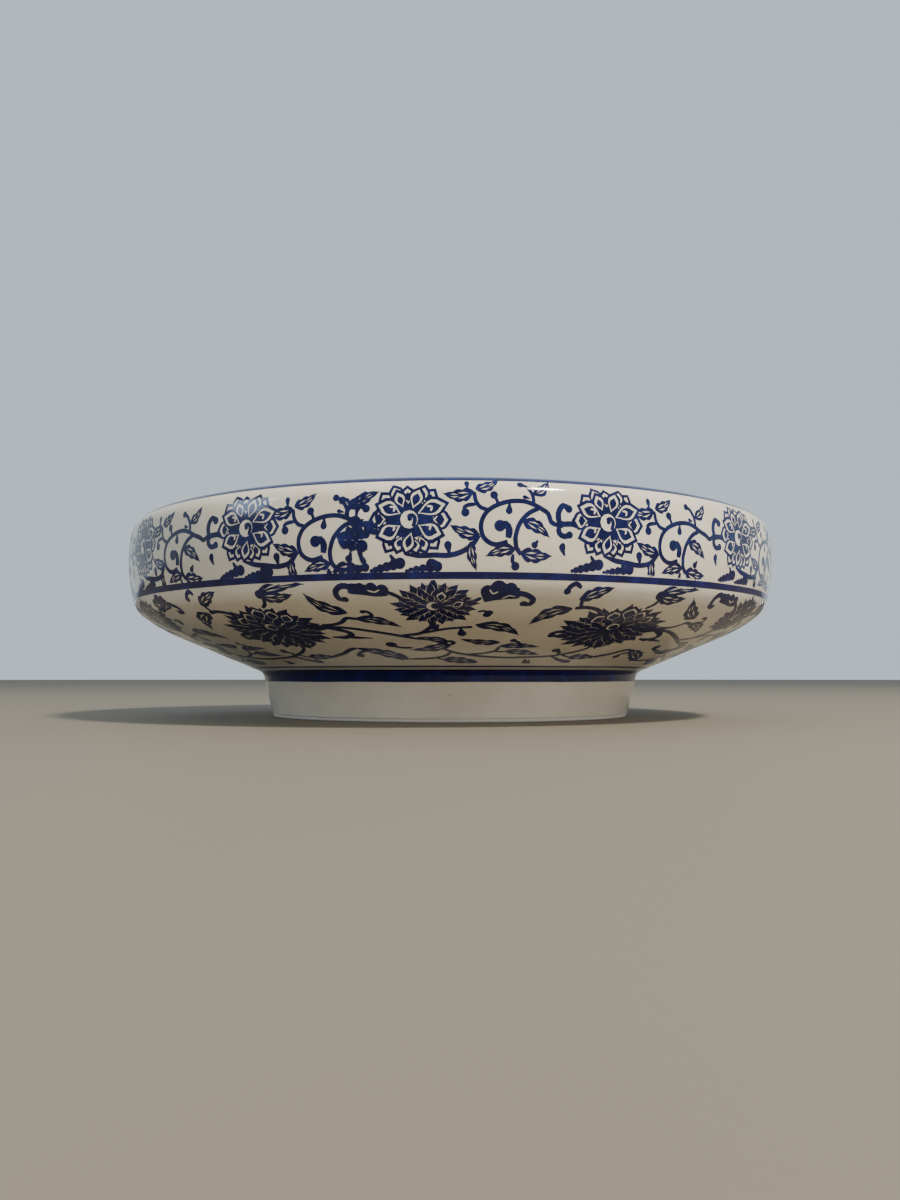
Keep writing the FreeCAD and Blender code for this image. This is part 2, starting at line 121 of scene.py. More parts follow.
at = section_centres()
print("section centres:", {name: (round(c.x, 1), round(c.y, 1)) for name, c in at.items()})


# %% [markdown]
# Each arc below says its centre, its radius, where it starts and ends, and on which side of it the
# open air lies. Moving every point along its own outward direction then gives the section at any
# depth: 0 is the biscuit, 0.4 mm is the surface of the glaze, and a little more is the top of the
# cobalt. That is how one outline serves every layer, and why no two layers can drift apart.

# %% Walk along the section
# A step is at most this many degrees, and a millimetre, on an arc, and this many millimetres on a line.
ARC_STEP = 5.0
LINE_STEP = 4.0


def arc_stations(centre, radius, first, last, air):
    """Points of an arc with the direction of the open air; air is 1 outside the circle, -1 inside."""
    turn = abs(last - first)
    steps = max(2, math.ceil(turn / ARC_STEP), math.ceil(radius * math.radians(turn)))
    angles = [first + (last - first) * n / steps for n in range(steps + 1)]
    return [(centre + towards(a) * radius, towards(a) * air) for a in angles]


def line_stations(start, end, air):
    steps = max(1, math.ceil((end - start).length / LINE_STEP))
    return [(start.lerp(end, n / steps), air) for n in range(steps + 1)]


def chained(*runs):
    """Runs joined end to end, without the doubled points where they meet."""
    chain = list(runs[0])
    for run in runs[1:]:
        chain += run[1:]
    return chain


def outside_stations():
    """From the glaze's edge on the foot up to the top of the lip."""
    swell_end = bearing(at["shoulder"] - at["swell"])
    band_start = bearing(at["shoulder"] - at["band"])
    band_end = bearing(at["rim"] - at["band"])
    off_cone = towards(CONE["slope"] - 90)
    return chained(
        line_stations(foot_side(FOOT["bare"]), at["side_end"], towards(FOOT["slope"] - 90)),
        arc_stations(at["neck"], NECK["radius"], FOOT["slope"] + 90, CONE["slope"] + 90, -1),
        line_stations(at["cone_start"], at["cone_end"], off_cone),
        arc_stations(at["swell"], CONE["swell"], CONE["slope"] - 90, swell_end, 1),
        arc_stations(at["shoulder"], SHOULDER["radius"], swell_end, band_start, 1),
        arc_stations(at["band"], BAND["curve"], band_start, band_end, 1),
        arc_stations(at["rim"], RIM["radius"], band_end, 90, 1))


def inside_stations():
    """From the top of the lip down to the middle of the floor."""
    wall = INSIDE["wall"]
    swell_end = bearing(at["shoulder"] - at["swell"])
    band_start = bearing(at["shoulder"] - at["band"])
    curl_end = bearing(at["curl"] - at["band"])
    lip_end = bearing(at["curl"] - at["lip"]) + 360
    in_cone = towards(CONE["slope"] + 90)
    cone_top = at["cone_end"] + in_cone * wall
    cone_low = at["fillet"] - in_cone * INSIDE["fillet"]
    floor_edge = at["fillet"] - Vector((0, INSIDE["fillet"]))
    return chained(
        arc_stations(at["lip"], RIM["lip"], 90, lip_end, 1),
        arc_stations(at["curl"], RIM["curl"], lip_end - 180, curl_end, -1),
        arc_stations(at["band"], BAND["curve"] - wall, curl_end, band_start, -1),
        arc_stations(at["shoulder"], SHOULDER["radius"] - wall, band_start, swell_end, -1),
        arc_stations(at["swell"], CONE["swell"] - wall, swell_end, CONE["slope"] - 90, -1),
        line_stations(cone_top, cone_low, in_cone),
        arc_stations(at["fillet"], INSIDE["fillet"], CONE["slope"] - 90, -90, -1),
        line_stations(floor_edge, Vector((0, INSIDE["floor"])), Vector((0, 1))))


def well_stations():
    """From the glaze's edge inside the foot, up and over the underside to its middle."""
    lean = 180 - FOOT["well_slope"]
    inner = FOOT["radius"] - FOOT["wall"]
    radius = FOOT["well_fillet"]
    side = lambda height: inner - height / math.tan(math.radians(FOOT["well_slope"]))
    level = CONE["underside"] - radius
    centre = Vector((side(level) - radius / math.sin(math.radians(lean)), level))
    start = Vector((side(FOOT["bare"]), FOOT["bare"]))
    on_side = centre + towards(lean - 90) * radius
    on_under = centre + Vector((0, radius))
    return chained(
        line_stations(start, on_side, towards(lean + 90)),
        arc_stations(centre, radius, lean - 90, 90, -1),
        line_stations(on_under, Vector((0, CONE["underside"])), Vector((0, -1))))


outside = outside_stations()
inside = inside_stations()
well = well_stations()
print("stations:", len(outside), "outside,", len(inside), "inside,", len(well), "in the well")


# %% [markdown]
# ## Two wheels made of nodes
#
# Everything on this bowl is either turned or wrapped round it, so two node trees make nearly all
# of it. The first is the potter's wheel: it takes one closed line in the section and turns it once
# round the axis. A grid has one row for each point of the line and one column for each step of the
# wheel, and every grid point is moved to where the wheel would carry it. Merging closes the seam
# and gathers the pole. A Screw modifier could do the same, but here the wheel can also let a
# painted line sway a little, the way a hand-held brush does.

# %% Helpers for building node trees
def add_node(tree, kind, feeds=None, **settings):
    """A node with its settings; a feed is another node's socket or a plain value."""
    node = tree.nodes.new(kind)
    for name, value in settings.items():
        setattr(node, name, value)
    for name, value in (feeds or {}).items():
        if isinstance(value, bpy.types.NodeSocket):
            tree.links.new(value, node.inputs[name])
        else:
            node.inputs[name].default_value = value
    return node


def calc(tree, operation, first, second=0.0):
    return add_node(tree, "ShaderNodeMath", {0: first, 1: second}, operation=operation).outputs[0]


def plus(tree, first, second):
    return calc(tree, "ADD", first, second)


def minus(tree, first, second):
    return calc(tree, "SUBTRACT", first, second)


def times(tree, first, second):
    return calc(tree, "MULTIPLY", first, second)


def over(tree, first, second):
    return calc(tree, "DIVIDE", first, second)


def split(tree, vector):
    """The x, y and z of a vector."""
    return add_node(tree, "ShaderNodeSeparateXYZ", {0: vector}).outputs


def joined(tree, x, y, z):
    return add_node(tree, "ShaderNodeCombineXYZ", {0: x, 1: y, 2: z}).outputs[0]


def new_tree(name, inputs):
    """A Geometry Nodes tree with a geometry in, a geometry out and named inputs for its sizes."""
    tree = bpy.data.node_groups.new(name, "GeometryNodeTree")
    tree.interface.new_socket("Geometry", in_out="INPUT", socket_type="NodeSocketGeometry")
    tree.interface.new_socket("Geometry", in_out="OUTPUT", socket_type="NodeSocketGeometry")
    for label, kind in inputs:
        tree.interface.new_socket(label, in_out="INPUT", socket_type="NodeSocket" + kind)
    return tree, tree.nodes.new("NodeGroupInput").outputs


def finish_tree(tree, geometry, material):
    real = add_node(tree, "GeometryNodeRealizeInstances", {0: geometry}).outputs[0]
    dressed = add_node(tree, "GeometryNodeSetMaterial", {"Geometry": real, "Material": material})
    add_node(tree, "NodeGroupOutput", {0: dressed.outputs[0]})


def stored_on_points(tree, geometry, name, value, kind):
    return add_node(tree, "GeometryNodeStoreNamedAttribute", {
        "Geometry": geometry, "Name": name, "Value": value}, data_type=kind, domain="POINT").outputs[0]


def about_axis(tree, radius, height, angle):
    """The place at a radius, a height and a turn; a turn of 0 faces the viewer, along -Y."""
    across = times(tree, radius, calc(tree, "SINE", angle))
    back = times(tree, radius, times(tree, calc(tree, "COSINE", angle), -1.0))
    return joined(tree, across, back, height)


# %% The potter's wheel
TOUCHING = 1e-6
CRISP_CORNER = math.radians(40)


def wheel_tree():
    tree, given = new_tree("Turn on the wheel", [
        ("Steps", "Int"), ("Sway", "Float"), ("Material", "Material")])
    line = given["Geometry"]
    rows = add_node(tree, "GeometryNodeAttributeDomainSize", {0: line}).outputs["Point Count"]
    columns = plus(tree, given["Steps"], 1.0)
    grid = add_node(tree, "GeometryNodeMeshGrid", {"Vertices X": rows, "Vertices Y": columns}).outputs[0]
    index = add_node(tree, "GeometryNodeInputIndex").outputs[0]
    row = calc(tree, "FLOOR", over(tree, plus(tree, index, 0.5), columns))
    column = minus(tree, index, times(tree, row, columns))
    angle = over(tree, times(tree, column, 2 * math.pi), given["Steps"])

    def at_row(value):
        return add_node(tree, "GeometryNodeSampleIndex", {"Geometry": line, "Value": value, "Index": row},
                        data_type="FLOAT_VECTOR", domain="POINT").outputs[0]

    place = at_row(add_node(tree, "GeometryNodeInputPosition").outputs[0])
    sway = add_node(tree, "GeometryNodeInputNamedAttribute", {"Name": "sway"}, data_type="FLOAT_VECTOR")
    sway_here = at_row(sway.outputs["Attribute"])
    side = split(tree, sway_here)[2]
    compass = about_axis(tree, 1.0, calc(tree, "SIGN", side), angle)
    wander = add_node(tree, "ShaderNodeTexNoise", {"Vector": compass, "Scale": 3.0, "Detail": 3.0}).outputs[0]
    amount = times(tree, minus(tree, wander, 0.5), given["Sway"])
    swayed = add_node(tree, "ShaderNodeVectorMath", {0: sway_here, "Scale": amount}, operation="SCALE")
    moved = add_node(tree, "ShaderNodeVectorMath", {0: place, 1: swayed.outputs[0]}, operation="ADD")
    parts = split(tree, moved.outputs[0])
    turned = add_node(tree, "GeometryNodeSetPosition", {
        "Geometry": grid, "Position": about_axis(tree, parts[0], parts[2], angle)}).outputs[0]
    closed = add_node(tree, "GeometryNodeMergeByDistance", {
        "Geometry": turned, "Distance": TOUCHING}).outputs[0]
    smooth = add_node(tree, "GeometryNodeSetShadeSmooth", {"Geometry": closed, "Shade Smooth": True},
                      domain="FACE").outputs[0]
    bend = add_node(tree, "GeometryNodeInputMeshEdgeAngle").outputs["Unsigned Angle"]
    corner = add_node(tree, "FunctionNodeCompare", {0: bend, 1: CRISP_CORNER}, operation="GREATER_THAN")
    crisp = add_node(tree, "GeometryNodeSetShadeSmooth", {
        "Geometry": smooth, "Selection": corner.outputs[0], "Shade Smooth": False}, domain="EDGE").outputs[0]
    finish_tree(tree, crisp, given["Material"])
    return tree


WHEEL = wheel_tree()


def run_tree(piece, tree, **values):
    """The piece as a plain mesh, after a tree with these input values."""
    modifier = piece.modifiers.new("tree", "NODES")
    modifier.node_group = tree
    sockets = {item.name: item.identifier for item in tree.interface.items_tree if item.in_out == "INPUT"}
    for label, value in values.items():
        modifier[sockets[label.replace("_", " ")]] = value
    evaluated = piece.evaluated_get(bpy.context.evaluated_depsgraph_get())
    made = bpy.data.meshes.new_from_object(evaluated)
    piece.modifiers.remove(modifier)
    old = piece.data
    piece.data = made
    bpy.data.meshes.remove(old)
    made.name = piece.name
    return piece


def new_piece(name, points, edges=(), faces=()):
    mesh = bpy.data.meshes.new(name)
    mesh.from_pydata(points, edges, faces)
    piece = bpy.data.objects.new(name, mesh)
    bpy.context.scene.collection.objects.link(piece)
    return piece


def report(piece):
    mesh = piece.data
    triangles = sum(len(face.vertices) - 2 for face in mesh.polygons)
    print(f"{piece.name}: {len(mesh.vertices)} points, {triangles} triangles")


def stand_for(piece, node_name):
    """The piece rides on the bowl, and is seen instead of one node of the model."""
    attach(piece, "root")
    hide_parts(node_name)


# %% Turned layers
STEPS = 360


def layer_line(stations, outer, inner):
    """A closed line: along the stations at one depth, and back at another."""
    front = [point + air * outer for point, air in stations]
    back = [point + air * inner for point, air in reversed(stations)]
    loop = front + back + front[:1]
    return [(max(point.x, 0.0) * MM, 0.0, point.y * MM) for point in loop]


def runs_clockwise(line):
    """Whether a loop runs clockwise, seen with the axis on its left; then its turned faces look outwards."""
    return sum(near[0] * far[2] - far[0] * near[2] for near, far in zip(line, line[1:])) < 0


def turned_layer(name, stations, outer, inner, material, sway=0.0):
    """A layer between two depths, turned once round; its edges may sway along the surface."""
    line = layer_line(stations, outer, inner)
    piece = new_piece(name, line, [(n, n + 1) for n in range(len(line) - 1)])
    if sway:
        drift = piece.data.attributes.new("sway", "FLOAT_VECTOR", "POINT")
        count = len(stations)
        for n, value in enumerate(drift.data):
            place = n if n < count else 2 * count - 1 - n
            share = 0 if n == 2 * count else place
            along = (stations[-1][0] - stations[0][0]).normalized()
            weight = 2 * share / (count - 1) - 1
            value.vector = (along.x * weight, 0, along.y * weight)
    run_tree(piece, WHEEL, Steps=STEPS, Sway=sway * MM, Material=material)
    if not runs_clockwise(line):
        piece.data.flip_normals()
    report(piece)
    return piece


# %% [markdown]
# The second tree is the decorator's: it takes a flat printed sheet and lays it on the bowl. A real
# transfer is a tissue with ceramic ink on it. The strip for the upright band is straight. The one
# for the cone is cut as a fan, because a cone unrolls into a fan, and then nothing stretches when
# it is laid. For each point of the sheet the tree works out two things: how far along the section
# it lies, and how far round. The section is a curve object, so Sample Curve gives the place and the
# direction there. The sheet's own height becomes height above the glaze.
#
# The strip goes once round, and its last repeat laps over the first. Its repeats sit a little closer
# at the front than at the back, as a strip laid by hand does, and the whole strip slants slightly.
# Past the place where the lap starts, the print lies higher by the thickness of what is under it.

# %% The decorator's tree
# Past the start of the lap the print lies this many millimetres higher.
LAP = 0.04


def wrap_tree():
    tree, given = new_tree("Lay the transfer", [
        ("Section", "Object"), ("Flat radius", "Float"), ("Fan distance", "Float"), ("Fan share", "Float"),
        ("Section start", "Float"), ("Repeats", "Int"), ("First turn", "Float"), ("Pitch", "Float"),
        ("Crowding", "Float"), ("Slant", "Float"), ("Lap from", "Float"), ("Material", "Material")])
    spots = add_node(tree, "GeometryNodeMeshLine", {
        "Count": given["Repeats"], "Offset": (0, 0, 0)}).outputs[0]
    index = add_node(tree, "GeometryNodeInputIndex").outputs[0]
    turn = plus(tree, given["First turn"], times(tree, index, given["Pitch"]))
    marked = stored_on_points(tree, spots, "turn", turn, "FLOAT")
    placed = add_node(tree, "GeometryNodeInstanceOnPoints", {"Points": marked, "Instance": given["Geometry"]})
    real = add_node(tree, "GeometryNodeRealizeInstances", {0: placed.outputs[0]}).outputs[0]

    flat = split(tree, add_node(tree, "GeometryNodeInputPosition").outputs[0])
    from_tip = plus(tree, flat[1], given["Fan distance"])
    squares = plus(tree, times(tree, flat[0], flat[0]), times(tree, from_tip, from_tip))
    is_fan = calc(tree, "GREATER_THAN", given["Fan distance"], 0.0)

    def either(strip_value, fan_value):
        return add_node(tree, "GeometryNodeSwitch", {
            "Switch": is_fan, "False": strip_value, "True": fan_value}, input_type="FLOAT").outputs[0]

    fan_turn = over(tree, calc(tree, "ARCTAN2", flat[0], from_tip), given["Fan share"])
    own_turn = either(over(tree, flat[0], given["Flat radius"]), fan_turn)
    reach = either(flat[1], calc(tree, "SQRT", squares))
    stored = add_node(tree, "GeometryNodeInputNamedAttribute", {"Name": "turn"}, data_type="FLOAT")
    even = plus(tree, own_turn, stored.outputs["Attribute"])
    total = minus(tree, even, times(tree, calc(tree, "SINE", even), given["Crowding"]))
    rise = times(tree, calc(tree, "SINE", total), given["Slant"])
    along = plus(tree, plus(tree, reach, given["Section start"]), rise)

    section = add_node(tree, "GeometryNodeObjectInfo", {"Object": given["Section"]}).outputs["Geometry"]
    sample = add_node(tree, "GeometryNodeSampleCurve", {"Curves": section, "Length": along}, mode="LENGTH",
                      use_all_curves=True)
    here = split(tree, sample.outputs["Position"])
    way = split(tree, sample.outputs["Tangent"])
    out_r = way[2]
    out_z = times(tree, way[0], -1.0)
    lapped = calc(tree, "GREATER_THAN", total, given["Lap from"])
    above = plus(tree, flat[2], times(tree, lapped, LAP * MM))
    radius = plus(tree, here[0], times(tree, out_r, above))
    height = plus(tree, here[2], times(tree, out_z, above))
    air = about_axis(tree, out_r, out_z, total)

    faced = stored_on_points(tree, real, "air", air, "FLOAT_VECTOR")
    laid = add_node(tree, "GeometryNodeSetPosition", {
        "Geometry": faced, "Position": about_axis(tree, radius, height, total)}).outputs[0]
    finish_tree(tree, laid, given["Material"])
    return tree


WRAP = wrap_tree()


def section_curve(name, stations, depth):
    """The section at one depth as a curve object that the tree can sample; it isn't rendered."""
    curve = bpy.data.curves.new(name, "CURVE")
    curve.dimensions = "3D"
    spline = curve.splines.new("POLY")
    spline.points.add(len(stations) - 1)
    for spot, (point, air) in zip(spline.points, stations):
        place = point + air * depth
        spot.co = (place.x * MM, 0, place.y * MM, 1)
    guide = bpy.data.objects.new(name, curve)
    bpy.context.scene.collection.objects.link(guide)
    return guide


def length_at(stations, depth, height):
    """How far along the section, at a depth, a height is first reached."""
    places = [point + air * depth for point, air in stations]
    total = 0.0
    for low, high in zip(places, places[1:]):
        if low.y <= height <= high.y:
            return total + (high - low).length * (height - low.y) / (high.y - low.y)
        total += (high - low).length
    raise ValueError(f"no station reaches {height}")


# %% [markdown]
# ## Finishes
#
# Three effects are shared by everything that is fired: the slow change of tone over a thick glaze,
# the rare iron specks in it, and the orange-peel skin that keeps a fired glaze from being a perfect
# mirror. Each is one node group that gives out a mask or a height, and each material decides what
# to do with it. All of them read Object coordinates, so they lie the same way from every side.

# %% Shared effects
def effect_group(name, outputs):
    tree = bpy.data.node_groups.new(name, "ShaderNodeTree")
    for label in outputs:
        tree.interface.new_socket(label, in_out="OUTPUT", socket_type="NodeSocketFloat")
    place = add_node(tree, "ShaderNodeTexCoord").outputs["Object"]
    return tree, place, add_node(tree, "NodeGroupOutput")


def ramp(tree, value, start, end):
    """0 below start, 1 above end, smooth in between."""
    node = add_node(tree, "ShaderNodeMapRange", {"Value": value, "From Min": start, "From Max": end},
                    interpolation_type="SMOOTHSTEP")
    return node.outputs["Result"]


def noise_at(tree, place, size, detail=2.0, roughness=0.5):
    """Noise whose lumps are about this many millimetres across."""
    return add_node(tree, "ShaderNodeTexNoise", {
        "Vector": place, "Scale": 1 / (size * MM), "Detail": detail, "Roughness": roughness}).outputs["Fac"]


# A cell of the glaze has a speck when its chance is above this, and the speck grows with the chance.
RARE = 0.86
SPECK_SIZE = 0.28


def fired_skin():
    """Mottle: slow changes of tone. Specks: rare dark dots. Peel: the skin's height."""
    tree, place, out = effect_group("Fired skin", ["Mottle", "Specks", "Peel"])
    slow = noise_at(tree, place, 45.0, 3.0)
    fine = noise_at(tree, place, 7.0, 3.0)
    mottle = plus(tree, times(tree, slow, 0.7), times(tree, fine, 0.3))
    tree.links.new(ramp(tree, mottle, 0.36, 0.64), out.inputs["Mottle"])
    cells = add_node(tree, "ShaderNodeTexVoronoi", {"Vector": place, "Scale": 1 / (9.0 * MM)})
    chance = split(tree, cells.outputs["Color"])
    size = times(tree, calc(tree, "MAXIMUM", minus(tree, chance[0], RARE), 0.0), SPECK_SIZE)
    dot = minus(tree, size, cells.outputs["Distance"])
    tree.links.new(ramp(tree, dot, -0.004, 0.008), out.inputs["Specks"])
    peel = noise_at(tree, place, 3.2, 2.0)
    wave = noise_at(tree, place, 16.0, 1.0)
    height = plus(tree, times(tree, peel, 0.3), times(tree, wave, 0.7))
    tree.links.new(height, out.inputs["Peel"])
    return tree


def clay_grain():
    """Grain: how gritty the bare clay is. Lines: the rings that the wheel leaves."""
    tree, place, out = effect_group("Clay grain", ["Grain", "Lines"])
    tree.links.new(noise_at(tree, place, 0.5, 4.0, 0.7), out.inputs["Grain"])
    parts = split(tree, place)
    flat = joined(tree, parts[0], parts[1], 0.0)
    radius = add_node(tree, "ShaderNodeVectorMath", {0: flat}, operation="LENGTH").outputs["Value"]
    wobble = times(tree, noise_at(tree, place, 25.0), 1.5 * MM)
    ring = plus(tree, plus(tree, radius, parts[2]), wobble)
    lines = calc(tree, "SINE", times(tree, ring, 2 * math.pi / (0.9 * MM)))
    tree.links.new(ramp(tree, lines, -1.0, 1.0), out.inputs["Lines"])
    return tree


FIRED = fired_skin()
CLAY = clay_grain()


# %% Material helpers
def start_material(name):
    material = bpy.data.materials.new(name)
    material.use_nodes = True
    tree = material.node_tree
    shader = tree.nodes["Principled BSDF"]
    return material, tree, shader


def use_group(tree, group):
    return add_node(tree, "ShaderNodeGroup", node_tree=group).outputs


def blend_colours(tree, mask, first, second):
    node = add_node(tree, "ShaderNodeMix", data_type="RGBA")
    for socket, value in ((0, mask), (6, first), (7, second)):
        if isinstance(value, bpy.types.NodeSocket):
            tree.links.new(value, node.inputs[socket])
        else:
            node.inputs[socket].default_value = value
    return node.outputs[2]


def bump(tree, shader, height, depth):
    """Relief of this depth in millimetres."""
    node = add_node(tree, "ShaderNodeBump", {"Height": height, "Distance": depth * MM, "Strength": 1.0})
    tree.links.new(node.outputs[0], shader.inputs["Normal"])


GLASS_IOR = 1.5
PEEL_DEPTH = 0.035


def glassy(tree, shader, skin, spread, least):
    """The sharp, slightly uneven reflection of a fired glaze."""
    rough = plus(tree, times(tree, skin["Mottle"], spread), least)
    tree.links.new(rough, shader.inputs["Roughness"])
    shader.inputs["IOR"].default_value = GLASS_IOR
    bump(tree, shader, skin["Peel"], PEEL_DEPTH)


def linear(red, green, blue):
    """A screen colour, 0 to 255, as the light that it stands for."""
    parts = []
    for value in (red, green, blue):
        share = value / 255
        parts.append(share / 12.92 if share <= 0.04045 else ((share + 0.055) / 1.055)**2.4)
    return (*parts, 1.0)


# %% [markdown]
# The glaze is clear glass over a warm white body. Seen from outside, the two together look like one
# opaque creamy skin with a sharp reflection, so that is how it is made here: the body colour in
# Base Color, a low roughness for the glass, and the peel as a shallow relief. A layer of real glass
# would render grey at the edges where it ends in the clay, and it would hide the cobalt's colour.

# %% Glaze
def glaze_material():
    material, tree, shader = start_material("clear glaze over porcelain")
    skin = use_group(tree, FIRED)
    body = blend_colours(tree, skin["Mottle"], linear(221, 211, 192), linear(210, 199, 178))
    specked = blend_colours(tree, skin["Specks"], body, linear(122, 92, 66))
    tree.links.new(specked, shader.inputs["Base Color"])
    glassy(tree, shader, skin, 0.05, 0.07)
    return material


# %% [markdown]
# Cobalt under glaze is never flat. Where the transfer carries more ink it fires almost black, and
# where it carries less it is a clear blue with the porcelain showing through. Each motif carries
# its own share of ink in an attribute, and a fine noise breaks it up the way a screen print does.

# %% Cobalt
def cobalt_material(name, dark, light, printed):
    material, tree, shader = start_material(name)
    skin = use_group(tree, FIRED)
    place = add_node(tree, "ShaderNodeTexCoord").outputs["Object"]
    cloud = noise_at(tree, place, 5.0, 4.0, 0.65)
    grain = noise_at(tree, place, 0.7, 2.0)
    uneven = plus(tree, times(tree, cloud, 0.7), times(tree, grain, 0.3))
    thin = ramp(tree, uneven, 0.42, 0.72)
    if printed:
        ink = add_node(tree, "ShaderNodeAttribute", attribute_name="ink").outputs["Fac"]
        thin = calc(tree, "MINIMUM", plus(tree, minus(tree, 1.0, ink),
                                          times(tree, thin, 0.45)), 1.0)
    tree.links.new(blend_colours(tree, thin, dark, light), shader.inputs["Base Color"])
    glassy(tree, shader, skin, 0.06, 0.09)
    return material


# %% Bare clay and slip
def clay_material(name, pale, dark, line_depth):
    material, tree, shader = start_material(name)
    clay = use_group(tree, CLAY)
    tree.links.new(blend_colours(tree, clay["Grain"], pale, dark), shader.inputs["Base Color"])
    rough = plus(tree, times(tree, clay["Grain"], 0.2), 0.62)
    tree.links.new(rough, shader.inputs["Roughness"])
    height = plus(tree, times(tree, clay["Lines"], 0.6), times(tree, clay["Grain"], 0.4))
    bump(tree, shader, height, line_depth)
    return material


GLAZED = glaze_material()
LINE_BLUE = cobalt_material("cobalt line", linear(9, 13, 64), linear(20, 30, 104), False)
PRINT_BLUE = cobalt_material("cobalt print", linear(10, 14, 60), linear(38, 50, 124), True)
BISCUIT = clay_material("biscuit", linear(224, 219, 208), linear(203, 196, 182), 0.02)
SLIP = clay_material("slip", linear(214, 205, 189), linear(190, 178, 158), 0.05)


# %% [markdown]
# ## The turned layers
#
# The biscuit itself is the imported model's, and only gets its clay. The glaze is made here again as
# a finely turned skin, because it is the mirror that everyone sees.

# %% Biscuit, slip and glaze
for node_name, clay in (("porcelain_bowl", BISCUIT), ("foot_ring", BISCUIT), ("luting_slip", SLIP)):
    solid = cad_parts[node_name]
    for place in solid.material_slots:
        place.material = clay

for name, node_name, stations in (
        ("outside_glaze_skin", "outer_glaze", outside),
        ("inside_glaze_skin", "inner_glaze", inside),
        ("foot_well_glaze_skin", "foot_well_glaze", well)):
    stand_for(turned_layer(name, stations, GLAZE, 0.0, GLAZED), node_name)


# %% [markdown]
# The painted lines are banded on the wheel: the brush stands still and the bowl turns. Their edges
# wander by a tenth of a millimetre or two, more on the broad band, which takes several turns.

# %% Lines banded on the wheel
# How far lines and prints stand above the glaze, and where their undersides are, in millimetres.
LINE_LIFT = 0.065
LIFT = 0.045
SUNK = -0.15


def stations_between(stations, low, high):
    """The part of the section whose glaze lies between two heights, cut exactly at both."""
    places = [(point + air * GLAZE).y for point, air in stations]
    part = []
    for (near, far), (below, above) in zip(zip(stations, stations[1:]), zip(places, places[1:])):
        if above <= low or below >= high:
            continue
        first = max(0.0, (low - below) / (above - below))
        last = min(1.0, (high - below) / (above - below))
        for share in (first, last):
            point = near[0].lerp(far[0], share)
            air = near[1].lerp(far[1], share).normalized()
            if not part or (part[-1][0] - point).length > 1e-4:
                part.append((point, air))
    return part


FLOOR_TOP = INSIDE["floor"]
# Seen from above, the lip line is this wide.
LIP_LINE = 4.7
lip_line_end = math.degrees(math.acos(LIP_LINE / (RIM["radius"] + GLAZE)))
lip_arc = arc_stations(at["rim"], RIM["radius"], 90, lip_line_end, 1)
floor_run = [(Vector((radius, FLOOR_TOP)), Vector((0, 1))) for radius in (60.0, 60.5, 61.4)]

for name, node_name, stations, sway in (
        ("painted_lip_line", "lip_line", lip_arc, 0.35),
        ("painted_shoulder_line", "shoulder_line", stations_between(outside, 44.9, 47.0), 0.35),
        ("painted_foot_band", "foot_band", stations_between(outside, 14.2, 18.5), 0.5),
        ("painted_foot_band_line", "foot_band_line", stations_between(outside, 19.3, 19.8), 0.2),
        ("painted_floor_ring", "floor_ring", floor_run, 0.3)):
    painted = turned_layer(name, stations, GLAZE + LINE_LIFT, GLAZE + SUNK, LINE_BLUE, sway)
    stand_for(painted, node_name)


# %% [markdown]
# ## The drawing
#
# The flowers and vines are drawn flat, in millimetres, as an engraver would cut them: strokes,
# leaves, buds and petals laid one over another. Each is a small polygon with its own share of ink,
# and a share of 0 scrapes the ink away again, which is how the white veins and petal edges are made.
# A handful of strokes drawn by name is easier to read and to change than one long outline.

# %% Strokes
INK = 1.0
BARE = 0.0
WASH = 0.72
# Every stroke comes out this much wider than it is written.
BRUSH = 1.15


def flowing(knots, step=1.0):
    """Points along a smooth line through the knots."""
    spots = [Vector(knot) for knot in knots]
    spots = [spots[0] * 2 - spots[1]] + spots + [spots[-1] * 2 - spots[-2]]
    line = []
    for a, b, c, d in zip(spots, spots[1:], spots[2:], spots[3:]):
        steps = max(2, round((c - b).length / step))
        for n in range(steps):
            t = n / steps
            curve = b * 2 + (c - a) * t + (a * 2 - b * 5 + c * 4 - d) * t**2 + (b * 3 - a - c * 3 + d) * t**3
            line.append(curve * 0.5)
    return line + [spots[-2]]


def sideways(step):
    return Vector((-step.y, step.x)).normalized()


def vine(knots, width=1.0, start=0.6, end=0.6, tone=INK):
    """A stroke; start and end are the shares of its width that are left at its two ends."""
    width *= BRUSH
    line = flowing(knots)
    last = len(line) - 1
    sides = []
    for n, spot in enumerate(line):
        way = line[min(n + 1, last)] - line[max(n - 1, 0)]
        share = min(1.0, start + 3 * n / last, end + 3 * (last - n) / last)
        reach = sideways(way) * width / 2 * share
        sides.append((spot + reach, spot - reach))
    return [([a, b, d, c], tone) for (a, b), (c, d) in zip(sides, sides[1:])]


def blob(place, radius, tone=INK):
    centre = Vector(place)
    return [([centre + towards(angle) * radius for angle in range(0, 360, 30)], tone)]


def comma(knots, width=1.0, radius=1.2, start=0.6):
    """A hooked stroke that ends in a drop of ink."""
    return vine(knots, width, start, 1.0) + blob(knots[-1], radius)


def along(base, tip, bend):
    """A function that gives a place beside a bent midrib: how far along, and how far to the side."""
    base, tip = Vector(base), Vector(tip)
    side = sideways(tip - base)
    bow = (tip - base).length * bend * 4

    def place(share, aside):
        return base.lerp(tip, share) + side * (bow * share * (1 - share) + aside)

    return place


def two_sided(place, profile):
    """A closed outline from (share, half width) pairs, up one side and down the other."""
    return [place(t, half) for t, half in profile] + [place(t, -half) for t, half in reversed(profile)]


def bud(base, tip, width, bend=0.0, tone=INK):
    """A teardrop with its point at the base."""
    shape = ((0.0, 0.12), (0.35, 0.3), (0.65, 0.5), (0.85, 0.42), (0.98, 0.15))
    profile = [(share, width * part) for share, part in shape]
    return [(two_sided(along(base, tip, bend), profile), tone)]


